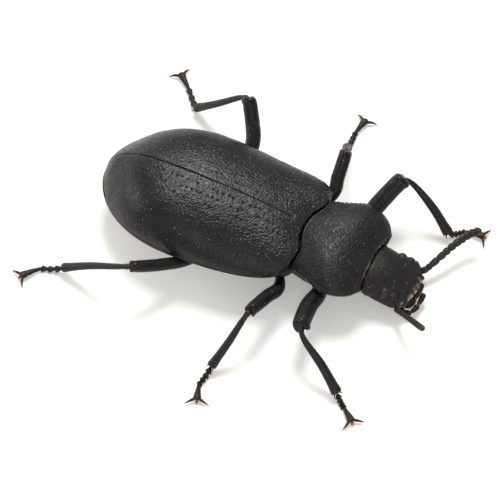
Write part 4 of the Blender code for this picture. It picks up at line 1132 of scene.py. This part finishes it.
def chitin(name, colour, roughness, grain=0.10, grain_depth=0.010, specks=0.0, warm_colour=RUSSET,
           thin_colour=AMBER):
    """Insect shell: near-black, pits painted darker (painted shade) and crests greyer (painted highlight),
    russet where it is thin, with pale specks.
    """
    paint = Paint(name)
    fine = paint.noise(grain, 2.0, 0.7)
    # Tone: half from the relief, as painted shade in pits and painted highlight on crests; a fifth from broad
    # noise that varies at random; the rest from the bump's own fine noise, so that its crests are painted
    # lighter too.
    tone = 0.0
    for part, share in ((paint.ramp(paint.attribute("relief_shade"), -0.016, 0.014), 0.5),
                        (paint.ramp(paint.noise(0.9, 3.0), 0.3, 0.7), 0.2),
                        (paint.ramp(fine, 0.36, 0.64), 0.3)):
        tone = paint.math("ADD", tone, paint.math("MULTIPLY", part, share))
    dark, light = (tuple(gain * value for value in colour) for gain in (PIT_SHADE_GAIN, CREST_HIGHLIGHT_GAIN))
    body = paint.mix(tone, dark, light)
    warm = paint.attribute("warm")
    body = paint.mix(paint.math("MINIMUM", warm, 1.0), body, warm_colour)
    body = paint.mix(paint.ramp(warm, 1.0, 1.6), body, thin_colour)
    if specks:
        cells = paint.add("ShaderNodeTexVoronoi", {"feature": "F1"}, Vector=paint.places(),
                          Scale=1.0 / (SPECK_CELL * MM), Randomness=1.0)
        split = paint.add("ShaderNodeSeparateColor", Color=cells.outputs["Color"])
        chosen = paint.math("LESS_THAN", split.outputs[0], specks)
        edge = SPECK_SIZE / SPECK_CELL
        near = paint.ramp(cells.outputs["Distance"], 0.3 * edge, 0.5 * edge, 1.0, 0.0)
        straw = paint.mix(paint.ramp(split.outputs[1], 0.6, 0.9), CREAM, ORANGE)
        body = paint.mix(paint.math("MULTIPLY", chosen, near), body, straw)
    rough = paint.ramp(fine, 0.3, 0.7, roughness + 0.10, roughness - 0.08)
    rough = paint.math("SUBTRACT", rough, paint.math("MULTIPLY", paint.attribute("gloss"), 0.2))
    bump = paint.add("ShaderNodeBump", Height=fine, Strength=1.0, Distance=grain_depth * MM)
    return paint.finish(Base_Color=body, Roughness=rough, Normal=bump.outputs[0], Specular_IOR_Level=0.3)


def eye_paint():
    """Facets of the eye: glossy black with a cool grey cast."""
    paint = Paint("eye_facets")
    # Facet crests are painted lighter and the hollows between them darker: painted highlight and painted
    # shade.
    crest = paint.ramp(paint.attribute("relief_shade"), 0.0, 0.01)
    colour = paint.mix(crest, (0.006, 0.006, 0.007), (0.045, 0.046, 0.048))
    rough = paint.ramp(paint.noise(0.05), 0.3, 0.7, 0.34, 0.5)
    return paint.finish(Base_Color=colour, Roughness=rough, Specular_IOR_Level=0.45)


def bristle_paint(name, dark, light):
    """Fine hairs, some paler than others."""
    paint = Paint(name)
    tone = paint.attribute("shade")
    streak = paint.ramp(paint.noise(0.08), 0.2, 0.8, 0.0, 0.35)
    colour = paint.mix(streak, paint.mix(tone, dark, light), dark)
    return paint.finish(Base_Color=colour, Roughness=paint.ramp(tone, 0.0, 1.0, 0.35, 0.55))


def build_hairs(pronotum, head, wings, legs, antennae):
    """Fringe, specks of hair on the shell, and bristles on the limbs and under the feet."""
    brown, pale = bristle_paint("brown_hair", *BROWN_HAIR), bristle_paint("pale_hair", *PALE_HAIR)
    arch = PRONOTUM_ARC - 1
    columns = np.sort(generator.beta(0.8, 0.8, 20)) * 0.76 + 0.12
    j = (columns * arch).astype(int)
    outward = pronotum.normals()[-1, j]
    ahead = np.tile([1.0, 0.0, -0.25], (len(j), 1))
    spots = np.column_stack([np.full(len(j), 0.98), columns])
    fringe = (pronotum.points[-1, j] - outward * 0.01, outward, ahead, spots, 0.10, 0.009, 0.3)
    add_bristles("collar_fringe", [fringe], pale)
    groups = [tuft(pronotum, "pronotum", arch / pronotum.points.shape[1]), tuft(head, "head")]
    groups += [tuft(wing, "wing_case", WING_ARC / wing.points.shape[1]) for wing in wings]
    add_bristles("shell_hairs", groups, brown)
    groups = []
    for thigh, shin, foot in legs:
        groups += [tuft(thigh, "thigh"), tuft(shin, "shin")]
        groups += [tuft(bead, "sole") for bead in foot[:-4]]
        groups.append(tuft(foot[-4], "long_segment"))
    for beads in antennae:
        groups += [tuft(bead, "feeler") for bead in beads]
    add_bristles("limb_hairs", groups, brown)


def build_floor():
    """A pale floor with a faint glow, which keeps it near white."""
    paint = Paint("studio_floor")
    shade = paint.ramp(paint.noise(40.0), 0.3, 0.7)
    colour = paint.mix(shade, (0.86, 0.86, 0.85), (0.88, 0.88, 0.87))
    material = paint.finish(Base_Color=colour, Roughness=0.45, Emission_Color=(*LIGHT_COLOUR, 1.0),
                            Emission_Strength=FLOOR_GLOW)
    mesh = bpy.data.meshes.new("floor")
    corners = [(x * FLOOR_REACH, y * FLOOR_REACH, 0.0) for x, y in ((-1, -1), (1, -1), (1, 1), (-1, 1))]
    mesh.from_pydata(corners, [], [(0, 1, 2, 3)])
    mesh.materials.append(material)
    floor = bpy.data.objects.new("floor", mesh)
    bpy.context.scene.collection.objects.link(floor)


def add_soft_light(name, place, size, power):
    light = bpy.data.lights.new(name, "AREA")
    light.shape = "RECTANGLE"
    light.size, light.size_y = size
    light.energy = power
    light.color = LIGHT_COLOUR
    lamp = bpy.data.objects.new(name, light)
    lamp.location = place
    lamp.rotation_euler = (Vector(LIGHT_AIM) - Vector(place)).to_track_quat("-Z", "Y").to_euler()
    bpy.context.scene.collection.objects.link(lamp)


def build_studio():
    """Pale floor, a broad soft light above and behind, weaker ones at the sides, and the camera."""
    build_floor()
    for name, (place, size, power) in SOFT_LIGHTS.items():
        add_soft_light(name, place, size, power)
    scene = bpy.context.scene
    scene.world = bpy.data.worlds.new("studio")
    scene.world.use_nodes = True
    background = scene.world.node_tree.nodes["Background"]
    background.inputs["Color"].default_value = (*WORLD_COLOUR, 1.0)
    background.inputs["Strength"].default_value = WORLD_STRENGTH
    scene.view_settings.view_transform = "Standard"
    scene.view_settings.look = "None"
    data = bpy.data.cameras.new("camera")
    data.sensor_width = SENSOR_WIDTH
    data.lens = SENSOR_WIDTH * CAMERA_DISTANCE / CAMERA_WIDTH_SEEN
    data.clip_start, data.clip_end = 0.01, 10.0
    camera = bpy.data.objects.new("camera", data)
    back = Vector(CAMERA_BACK).normalized()
    camera.location = Vector(CAMERA_AIM) + back * CAMERA_DISTANCE
    camera.rotation_euler = (-back).to_track_quat("-Z", "Y").to_euler()
    scene.collection.objects.link(camera)
    scene.camera = camera


def main():
    dusty = dict(specks=0.2, warm_colour=DULL_BROWN, thin_colour=CREAM)
    wing_paint = chitin("wing_case_shell", BLACK_SHELL, 0.31, grain=0.11, specks=0.16)
    pronotum_paint = chitin("pronotum_shell", BLACK_SHELL, 0.37, **dusty)
    head_paint = chitin("head_shell", BLACK_SHELL, 0.46, **dusty)
    under_paint = chitin("underside_shell", BLACK_SHELL, 0.5, grain=0.11, grain_depth=0.016)
    limb_paint = chitin("limb_shell", BLACK_LIMB, 0.42, specks=0.22)
    shin_paint = chitin("shin_shell", BLACK_SHIN, 0.38, grain=0.07)
    feeler_paint = chitin("feeler_shell", BROWN_FEELER, 0.45, grain=0.06)
    smooth = dict(grain=0.05, grain_depth=0.006)
    foot_paint = chitin("foot_shell", BLACK_FOOT, 0.40, **smooth)
    mouth_paint = chitin("mouth_shell", BLACK_FOOT, 0.38, warm_colour=AMBER, **smooth)
    lip_paint = chitin("lip_shell", BLACK_FOOT, 0.38, thin_colour=STRAW, **smooth)
    wings = [build_wing_case("wing_case_left", 1, wing_paint),
             build_wing_case("wing_case_right", -1, wing_paint)]
    pronotum = build_prothorax(pronotum_paint)
    head = build_head(head_paint, eye_paint())
    build_mouth(mouth_paint, lip_paint, foot_paint)
    antennae = [build_antenna(name, feeler_paint) for name in ANTENNAE]
    build_underside(under_paint)
    legs = [build_leg(name, limb_paint, shin_paint, foot_paint) for name in LEGS]
    build_hairs(pronotum, head, wings, legs, antennae)
    build_studio()


main()
